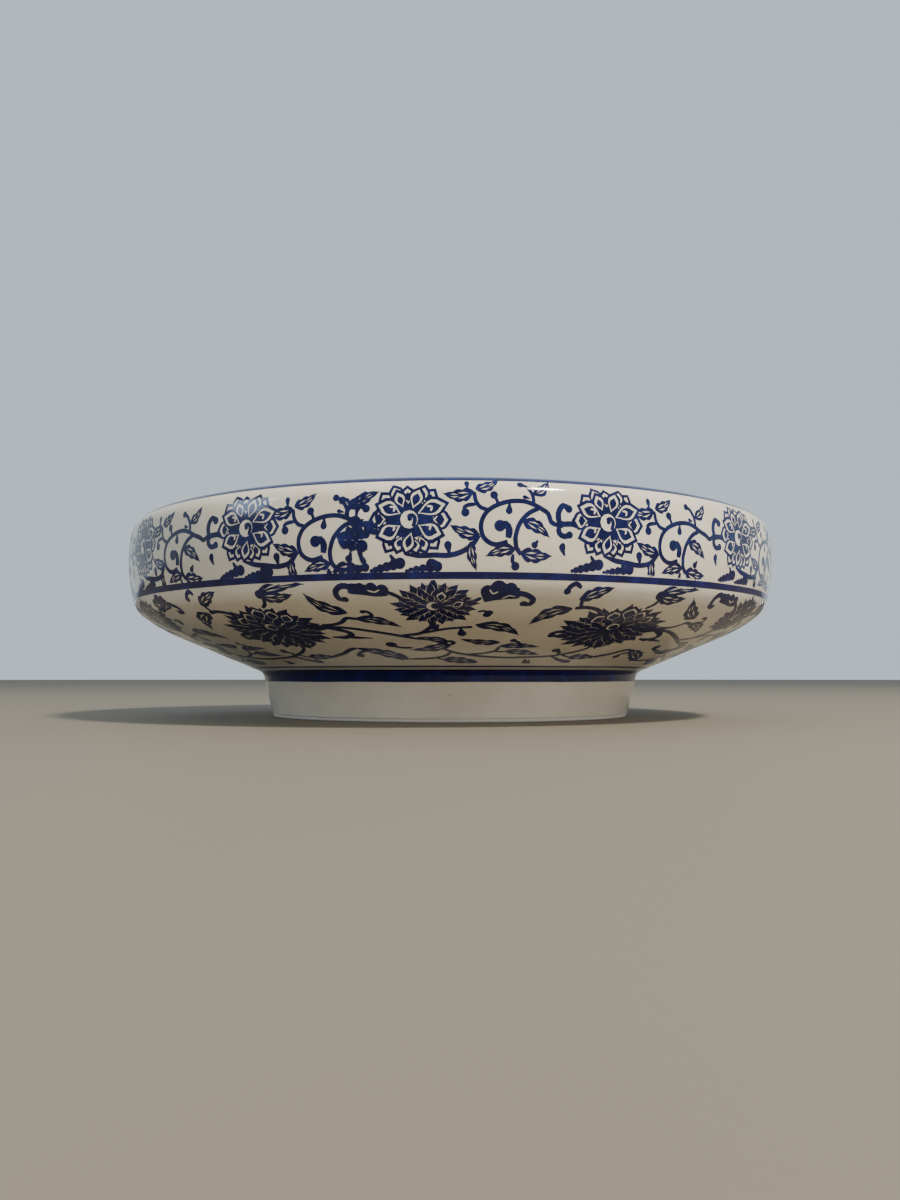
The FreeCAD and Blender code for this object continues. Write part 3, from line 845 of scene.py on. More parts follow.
def leaf(base, tip, width, bend=0.0, lobes=3, tone=INK):
    """A toothed leaf with white veins."""
    place = along(base, tip, bend)
    half = lambda t: width / 2 * math.sin(math.pi * min(1.0, t)**0.7)**0.8
    profile = [(0.0, width * 0.08)]
    for n in range(lobes):
        for part, swell in ((0.12, 0.82), (0.42, 1.04), (0.7, 1.12), (0.92, 1.02)):
            share = (n + part) / lobes
            profile.append((share, half(share) * swell + width * 0.02))
    profile.append((1.05, width * 0.02))
    shapes = [(two_sided(place, profile), tone)]
    for side in (-1, 1):
        for first, last, inner, outer in ((0.16, 0.56, 0.16, 0.5), (0.5, 0.82, 0.12, 0.42)):
            middle = (first + last) / 2
            vein = [place(first, side * half(first) * inner), place(middle, side * half(middle) * outer),
                    place(last, side * half(last) * outer * 0.9),
                    place(middle, side * half(middle) * inner * 1.4)]
            shapes.append((vein, BARE))
    return shapes


def petal_outline(base, tip, width, bend, trim=0.0):
    """The outline of a pointed petal; trim takes a rim of that width off all round."""
    way = (Vector(tip) - Vector(base)).normalized()
    place = along(Vector(base) + way * trim, Vector(tip) - way * trim * 1.8, bend)
    half = width / 2 - trim
    profile = [(t, half * math.sin(math.pi * t**1.25)) for t in (0.12, 0.3, 0.45, 0.6, 0.75, 0.88)]
    profile[-1] = (profile[-1][0], profile[-1][1] * 0.85)
    sides = two_sided(place, profile)
    return [place(0, 0)] + sides[:len(profile)] + [place(1, 0)] + sides[len(profile):]


def petal(base, tip, width, rim=0.85, bend=0.0, line=0.75, tone=INK):
    """A dark line, a white rim and a dark heart; a rim wider than half of the petal leaves no heart."""
    shapes = [(petal_outline(base, tip, width + 2 * line, bend, 0.0), tone),
              (petal_outline(base, tip, width + 2 * line, bend, line), BARE)]
    if rim < width / 2:
        shapes.append((petal_outline(base, tip, width + 2 * line, bend, line + rim), tone))
    return shapes


def scratch(knots, width):
    """A stroke that scrapes the ink away."""
    return vine(knots, width, tone=BARE)


def patch(*corners):
    return [([Vector(corner) for corner in corners], INK)]


def drawn(*parts):
    """All the shapes of several parts, the last on top."""
    return [shape for part in parts for shape in part]


def shifted(shapes, step):
    return [([spot + step for spot in outline], tone) for outline, tone in shapes]


# %% [markdown]
# The flower of the upright band is a lotus seen from the front. Its back petals are small, and
# peep out between eight big ones. The eye is a white disc with a curl in it.

# %% The flower of the upright band
def band_flower():
    eye = (0.0, 16.0)
    back = [((-5.0, 19.0), (-9.0, 24.6), 3.8), ((4.2, 19.6), (8.2, 25.4), 3.8),
            ((-2.6, 20.5), (-5.3, 27.0), 3.4), ((3.2, 20.5), (5.0, 26.9), 3.2),
            ((-0.2, 20.0), (-0.8, 26.7), 3.4), ((6.6, 15.8), (13.2, 15.7), 4.6),
            ((-6.6, 16.2), (-12.7, 16.1), 4.4), ((-4.2, 12.0), (-7.6, 6.0), 3.4),
            ((5.2, 12.0), (9.0, 6.8), 3.4), ((3.0, 11.5), (5.5, 5.5), 3.0),
            ((1.2, 11.0), (2.4, 5.1), 2.8), ((-2.2, 11.5), (-4.1, 5.6), 3.0)]
    # A dark oval lies under all the petals.
    shapes = [([Vector(eye) + Vector((math.cos(a / 10 * math.pi) * 7.4, math.sin(a / 10 * math.pi) * 5.6))
                for a in range(20)], INK)]
    for base, tip, width in back:
        shapes += petal(base, tip, width, 0.6, line=0.7)
    front = [((0.9, 12.8), (-1.4, 5.2), 3.4, 0.0), ((0.9, 18.6), (3.5, 26.2), 3.8, 0.0),
             ((-1.6, 19.0), (-4.3, 25.4), 3.2, 0.0)]
    for base, tip, width, bend in front:
        shapes += petal(base, tip, width, 0.65, bend, 0.7)
    main = [((1.8, 17.4), (12.4, 20.9), 4.8, 0.04), ((-1.8, 17.4), (-10.9, 20.9), 4.6, -0.04),
            ((2.0, 14.6), (11.1, 10.9), 4.9, -0.06), ((-2.0, 14.6), (-10.7, 10.7), 4.7, 0.06)]
    for base, tip, width, bend in main:
        shapes += petal(base, tip, width, 0.7, bend, 0.75)
        middle = Vector(base).lerp(Vector(tip), 0.4)
        shapes += scratch([middle + Vector(step) for step in ((-0.6, 1.1), (0.9, 0.9), (0.6, -0.4))], 0.6)
    shapes += blob(eye, 3.3) + blob(eye, 2.75, BARE)
    shapes += vine([(-0.3, 16.5), (0.3, 17.2), (1.5, 16.9), (1.8, 15.5), (1.1, 13.8)], 1.1, 0.8, 0.6)
    shapes += blob((0.2, 16.2), 0.75)
    return shapes


def cloud(start, end, size):
    """A row of growing scallops, as on the clouds that sit on the shoulder line."""
    start, end = Vector(start), Vector(end)
    shapes = [([start, end + Vector((0.4, -1.3)) * size, end + Vector((-0.3, 1.2)) * size,
                start.lerp(end, 0.3) + Vector((0, 0.7)) * size], INK)]
    for share, radius in ((0.0, 0.6), (0.14, 0.95), (0.32, 1.25), (0.54, 1.4), (0.77, 1.55), (1.0, 1.7)):
        shapes += blob(start.lerp(end, share), radius * size)
    return shapes


# %% One repeat of the upright band
def clouds_and_stem(low):
    """What lies under the flower; low is how far the scroll beside it hangs."""
    return drawn(
        cloud((-12.0, 0.9), (-3.0, 3.0), 1.05), vine([(-2.4, 4.2), (-4.5, 3.8), (-6.0, 5.6)], 1.1),
        cloud((-0.9, 0.7), (8.6, 1.9), 0.95), vine([(9.0, 2.8), (6.4, 3.7), (5.4, 2.2)], 1.1),
        vine([(21.5 - low / 2, 11 - low), (19.5 - low / 2, 8.5 - low * 0.9), (16, 6.2 - low * 0.6),
            (12, 5.2 - low * 0.5), (8, 5.3 - low * 0.4), (3, 5.2 - low * 0.2), (-1, 5.6)], 1.4, 0.6, 0.5),
        bud((12.4, 5.4 - low * 0.5), (11.6, 9.5 - low * 0.5), 2.4))


def scroll():
    """The big scroll between two flowers, with its leaves and buds."""
    return drawn(
        leaf((19.8, 24.3), (10.7, 23.6), 4.0, 0.1), bud((17.9, 24.8), (17.6, 28.4), 1.7),
        leaf((20.4, 25), (27.6, 28.6), 3.6, -0.08),
        vine([(20.0, 24.3), (20.4, 21.5), (22, 19.4), (24.2, 18.9)], 1.1),
        comma([(20.6, 20.4), (18.2, 20.2), (16.9, 19.4), (17.2, 17.9)], 1.1, 1.3),
        comma([(27.4, 20.3), (26.9, 21.8), (26.1, 23.3)], 0.9, 1.25),
        vine([(41, 19.5), (36, 21.4), (31, 21.4), (26.5, 20), (23.5, 17.8), (22, 14.5), (22.5, 11),
            (24.5, 9), (27, 8.4), (30.2, 9.3)], 1.25, 0.9, 0.9),
        comma([(30.4, 10.4), (30.7, 12.8), (29.6, 14.5), (27.8, 14.0)], 1.9, 1.8, 0.8),
        bud((30.9, 21), (30.6, 17.4), 2.2),
        comma([(38.6, 20.6), (38.2, 23.6), (36.4, 26.2), (34.6, 27.0)], 1.0, 1.1, 0.8),
        leaf((38.6, 23.6), (44.0, 28.4), 3.4, -0.1, 2), bud((37.4, 22.4), (35.0, 23.0), 1.2),
        vine([(40.5, 19.5), (37, 18), (34, 14.8), (32.7, 11), (32.7, 9.5), (33, 7.5),
            (34.5, 5.5)], 1.25, 0.7, 0.9),
        leaf((35, 15.5), (43.2, 11.0), 3.8, 0.08),
        comma([(39.6, 9.9), (39.4, 9.2), (38.7, 8.4)], 0.8, 1.05),
        leaf((32.6, 7.1), (23.8, 5.1), 3.6, -0.06), leaf((34.3, 6), (43.9, 5.2), 4.2, -0.05),
        comma([(32, 5.6), (31.8, 3.6), (32.8, 2.0)], 1.1, 1.35),
        leaf((21.5, 11), (12.8, 13.9), 3.7, 0.06), leaf((18.8, 9.2), (20.6, 0.9), 3.0, -0.06))


def calyx():
    """The cup and the two hooks from which the next flower grows."""
    return drawn(
        bud((44.6, 14.4), (48.4, 15.0), 2.4),
        vine([(45.6, 14.6), (48.2, 14.9), (51, 15), (53.4, 14.2)], 1.5, 0.8, 0.6),
        comma([(46.6, 15), (46.4, 18.2), (48.0, 20.6), (49.9, 19.6)], 1.6, 1.25),
        comma([(46.4, 14.2), (46.6, 12.2), (48.2, 11.2), (50, 11.7)], 1.5, 1.15),
        bud((48.6, 5.4), (47.7, 9.3), 2.2, 0.1))


# One scroll lies where it is drawn, and all the others hang lower and further left.
HIGH = Vector((0.0, 0.0))
HANGING = Vector((-1.9, -3.6))


def band_repeat(hang):
    """One repeat, with the scroll moved by hang."""
    low = -hang.y
    link = [(40.4 + hang.x, 19.6 + hang.y), (43 + hang.x * 0.4, 18.0 - low * 0.9),
            (44, 15.4 - low * 0.45), (45.8, 14.6)]
    shapes = clouds_and_stem(low) + shifted(scroll(), hang) + vine(link, 1.3, 0.9, 0.9)
    return shapes + calyx() + band_flower()


# %% [markdown]
# The cone carries two flowers in turn, a small chrysanthemum and a broad peony, on one long vine.
# Both are rings of narrow petals, each with a thin white edge, so from a step away they look almost
# black. They are drawn on the fan that the cone unrolls into, with the point of the fan far below.

# %% Flowers of the cone
FAN_DISTANCE = 120.5


def many_petals(centre, half_width, half_height, rings, edge=0.24):
    """Rings of petals from the outside in; a ring is how many, how far out, how wide, first angle."""
    centre = Vector(centre)

    def spread(angle, reach):
        way = towards(angle)
        return Vector((way.x * half_width, way.y * half_height)) * reach

    shapes = [([centre + spread(angle, 0.84) for angle in range(0, 360, 18)], INK)]
    for count, reach, width, first in rings:
        for n in range(count):
            angle = first + 360 * n / count
            uneven = 1 + 0.07 * math.sin(n * 2.4 + count)
            base, tip = centre + spread(angle, reach * 0.3), centre + spread(angle, reach * uneven)
            shapes.append((petal_outline(base, tip, width + 2 * edge, 0.05), BARE))
            shapes.append((petal_outline(base, tip, width, 0.05), INK))
    return shapes


def small_flower():
    rings = [(21, 0.98, 2.9, 4.0), (17, 0.86, 2.6, 10.0), (13, 0.68, 2.4, 0.0), (9, 0.48, 2.2, 20.0)]
    return drawn(
        many_petals((-0.4, 11.4), 13.4, 10.6, rings),
        petal((1.2, 13.2), (2.3, 18.6), 3.0, 0.45, 0.0, 0.5),
        petal((4.4, 10.8), (9.2, 13.6), 2.6, 0.4, 0.0, 0.5),
        blob((-0.9, 11.4), 2.1, BARE), blob((-0.1, 11.5), 1.5))


def big_flower():
    rings = [(25, 0.99, 3.8, 6.0), (19, 0.87, 3.6, 14.0), (15, 0.72, 3.3, 0.0), (11, 0.52, 2.9, 20.0)]
    shapes = many_petals((1.8, -1.4), 20.4, 14.8, rings, 0.27)
    crown = (((-4.5, 3.0), (-9.5, 7.5), 5.0, 0.05), ((-0.5, 4.0), (-4.0, 10.8), 4.6, 0.06),
             ((2.8, 5.0), (2.6, 13.2), 5.4, 0.0), ((6.2, 4.5), (8.6, 11.4), 4.4, -0.05),
             ((9.0, 3.0), (14.6, 8.2), 4.2, -0.05))
    for base, tip, width, bend in crown:
        shapes += petal(base, tip, width, 0.5, bend, 0.7)
    return shapes + blob((1.6, 0.6), 2.3, BARE) + blob((1.9, 0.4), 1.7)


# %% One repeat of the cone
def around_fan(shapes, degrees):
    """The shapes swung round the point of the fan, to the right."""
    turn = math.radians(degrees) * math.cos(math.radians(CONE["slope"]))
    tip = Vector((0.0, -FAN_DISTANCE))

    def swung(spot):
        reach = spot - tip
        return tip + Vector((reach.x * math.cos(turn) + reach.y * math.sin(turn),
                             reach.y * math.cos(turn) - reach.x * math.sin(turn)))

    return [([swung(spot) for spot in points], tone) for points, tone in shapes]


def small_flower_side():
    """The small flower with the clouds, leaves and vines round it."""
    return drawn(
        vine([(-43, -6.8), (-36, -5.5), (-28, -4.8), (-20, -6), (-13, -7.8), (-6, -10.2)], 1.5, 0.9, 0.6),
        vine([(-1.2, 3.0), (-1.5, 0.5), (-3.0, -2.4), (-6.0, -5.9), (-11.5, -7.6)], 1.5, 1.0, 0.7),
        vine([(-5.5, -5.6), (-1.5, -3.9), (2.5, -2.4), (6.5, -1.7), (10.8, -1.4)], 1.3, 0.8, 0.8),
        patch((-2.6, -2.6), (-2.2, 1.0), (0.6, 0.8), (0.2, -2.9)),
        bud((7.2, -2.2), (7.6, -8.0), 3.0), leaf((12, 0.2), (25.2, -8.8), 5.6, 0.13),
        comma([(12.6, 8.0), (14.6, 8.2), (16.0, 7.0)], 0.9, 1.4), blob((15.4, 6.0), 1.3),
        # The cloud on the right, with its scraped lines.
        vine([(9.4, 13.6), (11.6, 13.4), (13.8, 14.8)], 1.2),
        vine([(14.2, 14.6), (17.0, 15.2), (21.0, 15.4), (25.6, 15.0)], 3.8, 0.9, 0.8),
        blob((15.8, 17.0), 2.2), blob((19.2, 17.6), 2.7), blob((22.8, 16.9), 2.2),
        comma([(24.5, 15.3), (27.6, 14.0), (29.6, 11.6), (28.6, 9.6), (26.6, 10.2)], 1.7, 1.2, 1.0),
        scratch([(16.5, 17.6), (17.4, 16.0), (19.0, 16.6)], 0.5),
        scratch([(20.0, 13.6), (22.4, 14.6), (24.2, 13.8)], 0.4),
        # The cloud on the left.
        vine([(-9.4, 13.6), (-11.2, 15.4), (-14.4, 17.0)], 1.2),
        vine([(-14.6, 17.4), (-18.0, 16.8), (-22.6, 16.9), (-27.0, 16.6)], 3.2, 0.9, 0.8),
        blob((-16.2, 17.4), 2.1), blob((-19.6, 17.7), 2.0), blob((-23.2, 17.3), 1.8),
        comma([(-25.5, 17.0), (-28.8, 17.2), (-30.8, 15.0), (-29.8, 12.2), (-27.9, 12.2)], 1.7, 1.2, 1.0),
        scratch([(-17.0, 17.6), (-18.6, 16.6), (-20.8, 17.0)], 0.5),
        # The fork of the vine on the left, with its leaves.
        leaf((-28.0, 5.2), (-41, 11.2), 5.2, 0.1), leaf((-25.5, 2.6), (-11.8, -1.0), 4.6, 0.1),
        comma([(-20.6, 3.2), (-20.2, 5.6), (-21.8, 7.2), (-23.0, 6.8)], 1.1, 0.9),
        vine([(-36.5, -4.6), (-32.4, -2.7), (-30, -0.4), (-28.4, 2.2), (-25, 2.2)], 1.4, 0.9, 0.8),
        patch((-39, -6.6), (-36.6, -3.4), (-32.6, -4.8), (-34.0, -7.6)),
        vine([(-34, -6.6), (-30.2, -7.4), (-28.2, -9.4), (-30.6, -12.4), (-35.0, -13.2)], 1.9, 0.8, 0.4),
        bud((-21.4, -11.0), (-30.5, -12.0), 2.0),
        # The low vines under the flower.
        leaf((3.4, -12.4), (-8.4, -9.6), 3.6, -0.1, 2),
        leaf((4.0, -12.6), (-9.2, -18.6), 4.8, 0.1, 3, WASH),
        blob((3.4, -12.8), 2.0), blob((3.2, -13.0), 0.7, BARE),
        comma([(-8.8, -16.9), (-12.2, -17.2), (-14.6, -16.4), (-15.8, -15.2)], 1.2, 1.9),
        vine([(0.6, -16.8), (4.4, -20.2), (10, -23), (18, -25.8), (26.0, -28.0)], 1.2, 0.6, 1.0),
        vine([(3.8, -19.8), (1.5, -23), (-3, -25), (-11.3, -26.3)], 1.1),
        leaf((-10.8, -26.2), (-28.2, -20.4), 5.4, -0.06, 4, WASH),
        comma([(-24.4, -22.0), (-27.0, -23.6), (-27.2, -26.2)], 1.2, 1.5),
        leaf((0.8, -26), (11.6, -28), 4.6, 0.04, 3, WASH), vine([(-1.6, -24.6), (1.0, -26.4)], 0.8),
        vine([(8, -22.2), (13.6, -22), (18, -20.6), (19.6, -17.4)], 1.1),
        leaf((19.6, -16.9), (32.4, -20.6), 3.6, 0.05, 3, WASH),
        comma([(26.4, -17.8), (25.6, -15.2), (24, -13.4)], 1.1, 1.1),
        leaf((21.4, -21.2), (32.6, -27.2), 3.9, 0.04, 3, WASH), vine([(17, -20.9), (22, -22)], 0.9),
        leaf((19.6, -14.2), (7.2, -10.2), 3.8, 0.06), bud((28.4, -29.8), (27.6, -34.6), 2.2, 0.05, WASH),
        small_flower())


def big_flower_side():
    """The broad flower with the leaves and vines round it."""
    return drawn(
        vine([(-18.6, 9.8), (-15.0, 10.8), (-11.0, 10.4), (-8.4, 9.0)], 1.4, 0.8, 1.0),
        vine([(-16.6, 10.4), (-17.8, 12.4), (-18.4, 14.6)], 1.1),
        leaf((-19.4, 14.0), (-9.6, 19.7), 4.4, 0.04),
        comma([(-20.6, 18.2), (-22.8, 19.2), (-24.6, 17.6), (-24.8, 16.2)], 1.4, 1.2),
        leaf((-19.6, 9.6), (-28.4, -1.6), 5.6, -0.16),
        comma([(-13.4, -5.2), (-16.2, -5.0), (-17.6, -6.8), (-16.8, -8.0)], 1.6, 1.4),
        vine([(7, 12), (9.4, 14), (10.2, 16.4)], 1.1), leaf((8.6, 18.2), (26.6, 18.6), 3.4, 0.06),
        leaf((9.4, 17.6), (21.2, 16.0), 4.4, -0.08), blob((9.6, 17.8), 1.7),
        vine([(1, -13), (2.5, -15.4), (0, -18.5), (-4, -21), (-9, -23.4), (-20, -26.2)], 1.2, 0.6, 1.0),
        vine([(1, -13.2), (3.4, -14.8), (6.6, -14.7), (10, -12.4)], 1.1),
        comma([(-6.2, -22.2), (-6.6, -20.0), (-8.8, -18.6)], 1.2, 1.5, 1.0),
        leaf((-1.0, -23.6), (10.6, -24), 4.2, 0.04, 3, WASH), vine([(-5, -21.6), (-1, -23.6)], 0.9),
        vine([(9.6, -23.6), (15, -22), (19, -19.8), (22.4, -18.8)], 1.5),
        vine([(-8, -23.4), (-4, -25.4), (0.6, -27.2)], 1.0), bud((-5, -25.8), (2.6, -27.8), 2.6, 0.0, WASH),
        leaf((-31, -33.6), (-42, -36), 3.8, 0.0, 3, WASH),
        bud((-14.4, -27.4), (-13.2, -31.4), 2.2, 0.0, WASH),
        big_flower())


def cone_repeat():
    return around_fan(big_flower_side(), 29.5) + small_flower_side()


# %% [markdown]
# ## From drawing to print
#
# The printer's sheet is one tile of the drawing, cut so that its left and right edges fit each
# other, and every repeat is a closed film of its own, laid against its neighbours.
# All the outlines go into one triangulation together with a fine grid of points, so that
# every triangle is small enough to bend round the bowl. Each triangle then takes the tone of the
# topmost shape over its middle, and a scraped or empty one is thrown away. What is left gets a
# thickness, because fired cobalt has one: a film with a top, an underside in the glaze, and edges.

# %% Cut the tile and give it thickness
# Points closer together than this, in millimetres, become one.
SAME_SPOT = 1e-3


def divided(outline, longest):
    """The outline with points added until no side is longer than this."""
    points = []
    for start, end in zip(outline, outline[1:] + outline[:1]):
        parts = max(1, math.ceil((end - start).length / longest))
        points += [start.lerp(end, n / parts) for n in range(parts)]
    return points


def inside_outline(spot, outline):
    """Whether a spot lies inside, by counting the sides that pass on its right."""
    within = False
    for start, end in zip(outline, outline[1:] + outline[:1]):
        if (start.y > spot.y) != (end.y > spot.y):
            if spot.x < start.x + (end.x - start.x) * (spot.y - start.y) / (end.y - start.y):
                within = not within
    return within


def topmost_tone(spot, shapes, boxes):
    """The tone of the last shape over a spot; shapes are laid one over another."""
    for (outline, tone), (left, low, right, high) in zip(reversed(shapes), reversed(boxes)):
        if left <= spot.x <= right and low <= spot.y <= high and inside_outline(spot, outline):
            return tone
    return BARE


def close_shapes(shapes, is_close):
    """The shapes that have at least one corner close to the tile."""
    return [(outline, tone) for outline, tone in shapes if any(is_close(spot) for spot in outline)]


def inked_triangles(shapes, keep, fences, grid, longest):
    """The inked triangles of a tile as (points, corner numbers, tone)."""
    points = []
    edges = []
    for outline in [shape[0] for shape in shapes]:
        ring = divided(outline, longest)
        first = len(points)
        points += ring
        edges += [(first + n, first + (n + 1) % len(ring)) for n in range(len(ring))]
    for fence in fences:
        first = len(points)
        points += fence
        edges += [(first + n, first + n + 1) for n in range(len(fence) - 1)]
    points += grid
    spots, _, corners, _, _, _ = delaunay_2d_cdt(points, edges, [], 0, SAME_SPOT, False)
    boxes = [(min(p.x for p in outline), min(p.y for p in outline), max(p.x for p in outline),
              max(p.y for p in outline)) for outline, tone in shapes]
    inked = []
    for triangle in corners:
        middle = (spots[triangle[0]] + spots[triangle[1]] + spots[triangle[2]]) / 3
        if keep(middle):
            tone = topmost_tone(middle, shapes, boxes)
            if tone > BARE:
                inked.append((triangle, tone))
    return spots, inked


def film_piece(name, spots, inked, lift=LIFT):
    """A closed film of ink: top, underside and edges."""
    used = sorted({n for triangle, tone in inked for n in triangle})
    number = {n: place for place, n in enumerate(used)}
    count = len(used)
    points = [(spots[n].x * MM, spots[n].y * MM, height * MM) for height in (lift, SUNK) for n in used]
    faces, tones = [], []
    border = {}
    for triangle, tone in inked:
        a, b, c = (number[n] for n in triangle)
        faces += [(a, b, c), (c + count, b + count, a + count)]
        tones += [tone, tone]
        for start, end in ((a, b), (b, c), (c, a)):
            if (end, start) in border:
                del border[(end, start)]
            else:
                border[(start, end)] = tone
    for (start, end), tone in border.items():
        faces.append((start, start + count, end + count, end))
        tones.append(tone)
    piece = new_piece(name, points, faces=faces)
    piece.data.attributes.new("ink", "FLOAT", "FACE").data.foreach_set("value", tones)
    return piece


# Every second row is shifted by this much.
STAGGER = 0.3


def grid_points(left, right, low, high, across, up, fine_from, fine_up):
    """Loose points in rows; rows above fine_from lie closer together."""
    rows = []
    level = low
    while level < high:
        rows.append(level)
        level += up if level < fine_from else fine_up
    columns = [left + (right - left) * n / across for n in range(across + 1)]
    return [Vector((x + (STAGGER if row % 2 else 0.0), y)) for row, y in enumerate(rows) for x in columns]


# A face is on the top or the underside when its normal is this close to the air's way, as a cosine.
NEARLY_FLAT = 0.6


def face_the_air(piece):
    """Normals straight out of the glaze on the film's top and underside, so that it shines as one skin."""
    mesh = piece.data
    air = mesh.attributes["air"].data
    for face in mesh.polygons:
        face.use_smooth = True
    normals = []
    for face in mesh.polygons:
        flat = face.normal
        for corner in face.vertices:
            out = air[corner].vector
            facing = flat.dot(out)
            normals.append(out if facing > NEARLY_FLAT else -out if facing < -NEARLY_FLAT else flat)
    mesh.normals_split_custom_set(normals)
    for spent in ("air", "turn"):
        mesh.attributes.remove(mesh.attributes[spent])


# %% The upright band's tile, laid with its ends lapped
BAND_RADIUS = 130.0
BAND_PITCH = math.radians(27.94)
BAND_START_HEIGHT = 46.7
TILE = BAND_RADIUS * BAND_PITCH
CALYX_CUT = 46.4
BAND_LOW = 0.35
BAND_TOP = 28.7
FIRST_ROW = 0.4
LONGEST = 1.6
LIP_BEND = 23.0
FINE = 0.8
FIRST_FLOWER = math.radians(-5.51)
CROWDING = 0.0297
SLANT = 0.7
LAP_START = math.radians(345.4)
# A print whose lap starts at this turn, in radians, isn't raised; at minus this turn, all of it is.
NOWHERE = 10.0

outside_guide = section_curve("outside_section", outside, GLAZE)
shoulder_length = length_at(outside, GLAZE, BAND_START_HEIGHT)
print("shoulder line's top is", round(shoulder_length, 2), "mm along the section")


def band_tile(name, before, here):
    """One tile, from the hooks left of a flower to the hooks right of it."""
    shapes = shifted(band_repeat(before), Vector((-TILE, 0))) + band_repeat(here)
    left, right = CALYX_CUT - TILE, CALYX_CUT
    near = close_shapes(shapes, lambda spot: left - 2 < spot.x < right + 2)
    # A fence has a point at every millimetre, from below the tile to above it.
    fences = [[Vector((x, level)) for level in range(-2, 33)] for x in (left, right)]
    grid = grid_points(left + 0.9, right - 1.2, FIRST_ROW, BAND_TOP, 40, LONGEST, LIP_BEND, FINE)
    keep = lambda spot: left < spot.x < right and BAND_LOW < spot.y < BAND_TOP
    spots, inked = inked_triangles(near, keep, fences, grid, LONGEST)
    return film_piece(name, spots, inked)


def lay_on_band(piece, repeats, first, lap_from):
    """The piece, laid this many times from the flower with this number, and raised past the lap's start."""
    run_tree(piece, WRAP, Section=outside_guide, Flat_radius=BAND_RADIUS * MM, Fan_distance=0.0,
             Fan_share=1.0, Section_start=shoulder_length * MM, Repeats=repeats,
             First_turn=FIRST_FLOWER + BAND_PITCH * first, Pitch=BAND_PITCH, Crowding=CROWDING,
             Slant=SLANT * MM, Lap_from=lap_from, Material=PRINT_BLUE)
    face_the_air(piece)
    report(piece)
    stand_for(piece, "rim_band_transfer")


lay_on_band(band_tile("printed_rim_flower", HANGING, HIGH), 1, 0, NOWHERE)
lay_on_band(band_tile("printed_rim_second", HIGH, HANGING), 1, 1, NOWHERE)
lay_on_band(band_tile("printed_rim_band", HANGING, HANGING), 11, 2, LAP_START)


# %% [markdown]
# Where the strip's ends lap, two prints lie on each other and the wet tissue drags, so the pattern
# there is a blot. It is a small sheet of its own, laid once, on top of both.

# %% The blot where the strip's ends meet
def lap_blot():
    return drawn(
        leaf((-17.8, 20.4), (-9.8, 24.6), 3.6, 0.05),
        vine([(-19.8, 17.2), (-19.2, 19.8), (-17.2, 21.0)], 1.3),
        comma([(-18.8, 21.0), (-19.6, 22.6), (-21.2, 22.5)], 1.0, 1.25),
        blob((-17.0, 15.4), 2.2), blob((-14.6, 14.8), 1.7), blob((-18.4, 13.0), 1.7),
        blob((-15.6, 13.0), 1.5), blob((-14.8, 8.4), 1.9),
        vine([(-15.0, 14.2), (-12.4, 12.9), (-9.4, 12.2)], 1.5),
        scratch([(-19.6, 15.2), (-18.0, 14.0)], 0.5),
        leaf((-22.4, 10.4), (-13.4, 7.6), 4.4, 0.04),
        scratch([(-13.0, 16.8), (-14.6, 15.2), (-14.2, 13.2)], 0.5),
        cloud((-25.5, 0.9), (-14.0, 2.0), 0.8),
        bud((-18.4, 7.2), (-19.2, 3.2), 1.8), bud((-16.2, 6.8), (-13.8, 2.8), 1.8))


def blot_piece():
    grid = grid_points(-27.0, -9.0, FIRST_ROW, 26.0, 12, LONGEST, LIP_BEND, FINE)
    spots, inked = inked_triangles(lap_blot(), lambda spot: True, [], grid, LONGEST)
    return film_piece("printed_lap_blot", spots, inked, LIFT + LAP)


lay_on_band(blot_piece(), 1, 0, -NOWHERE)


# %% The cone's tile, one sixth of the fan
FAN_SHARE = math.cos(math.radians(CONE["slope"]))
CONE_PITCH = math.radians(60.0)
CONE_LOW = 20.6
CONE_HIGH = 44.5
FAN_INNER = 86
FAN_OUTER = 148
CONE_LONGEST = 1.9
CONE_ROWS = 2.0
SHOULDER_BEND = 15.0
cone_start = at["cone_start"] + towards(CONE["slope"] - 90) * GLAZE
cone_length = length_at(outside, GLAZE, cone_start.y)
cone_reach = cone_start.x / FAN_SHARE


def fan_level(height):
    """How far from the fan's point a height on the glaze lies, less the distance to the drawing's origin."""
    return length_at(outside, GLAZE, height) - cone_length + cone_reach - FAN_DISTANCE


def cone_tile(name):
    low, high = fan_level(CONE_LOW), fan_level(CONE_HIGH)
    drawn = cone_repeat()
    shapes = [shape for n in (-1, 0, 1) for shape in around_fan(drawn, 60 * n)]
    half = CONE_PITCH / 2 * FAN_SHARE
    tip = Vector((0.0, -FAN_DISTANCE))

    def bearing_of(spot):
        return math.atan2(spot.x, spot.y + FAN_DISTANCE)

    near = close_shapes(shapes, lambda spot: abs(bearing_of(spot)) < half + 0.03)
    fences = [[tip + Vector((math.sin(side * half), math.cos(side * half))) * reach
               for reach in range(FAN_INNER, FAN_OUTER)] for side in (-1, 1)]
    grid = []
    for spot in grid_points(-0.97 * half, 0.97 * half, low, high, 64, CONE_ROWS, SHOULDER_BEND, FINE):
        reach = spot.y + FAN_DISTANCE
        grid.append(tip + Vector((math.sin(spot.x), math.cos(spot.x))) * reach)
    keep = lambda spot: abs(bearing_of(spot)) < half and low < (spot - tip).length - FAN_DISTANCE < high
    spots, inked = inked_triangles(near, keep, fences, grid, CONE_LONGEST)
    return film_piece(name, spots, inked)


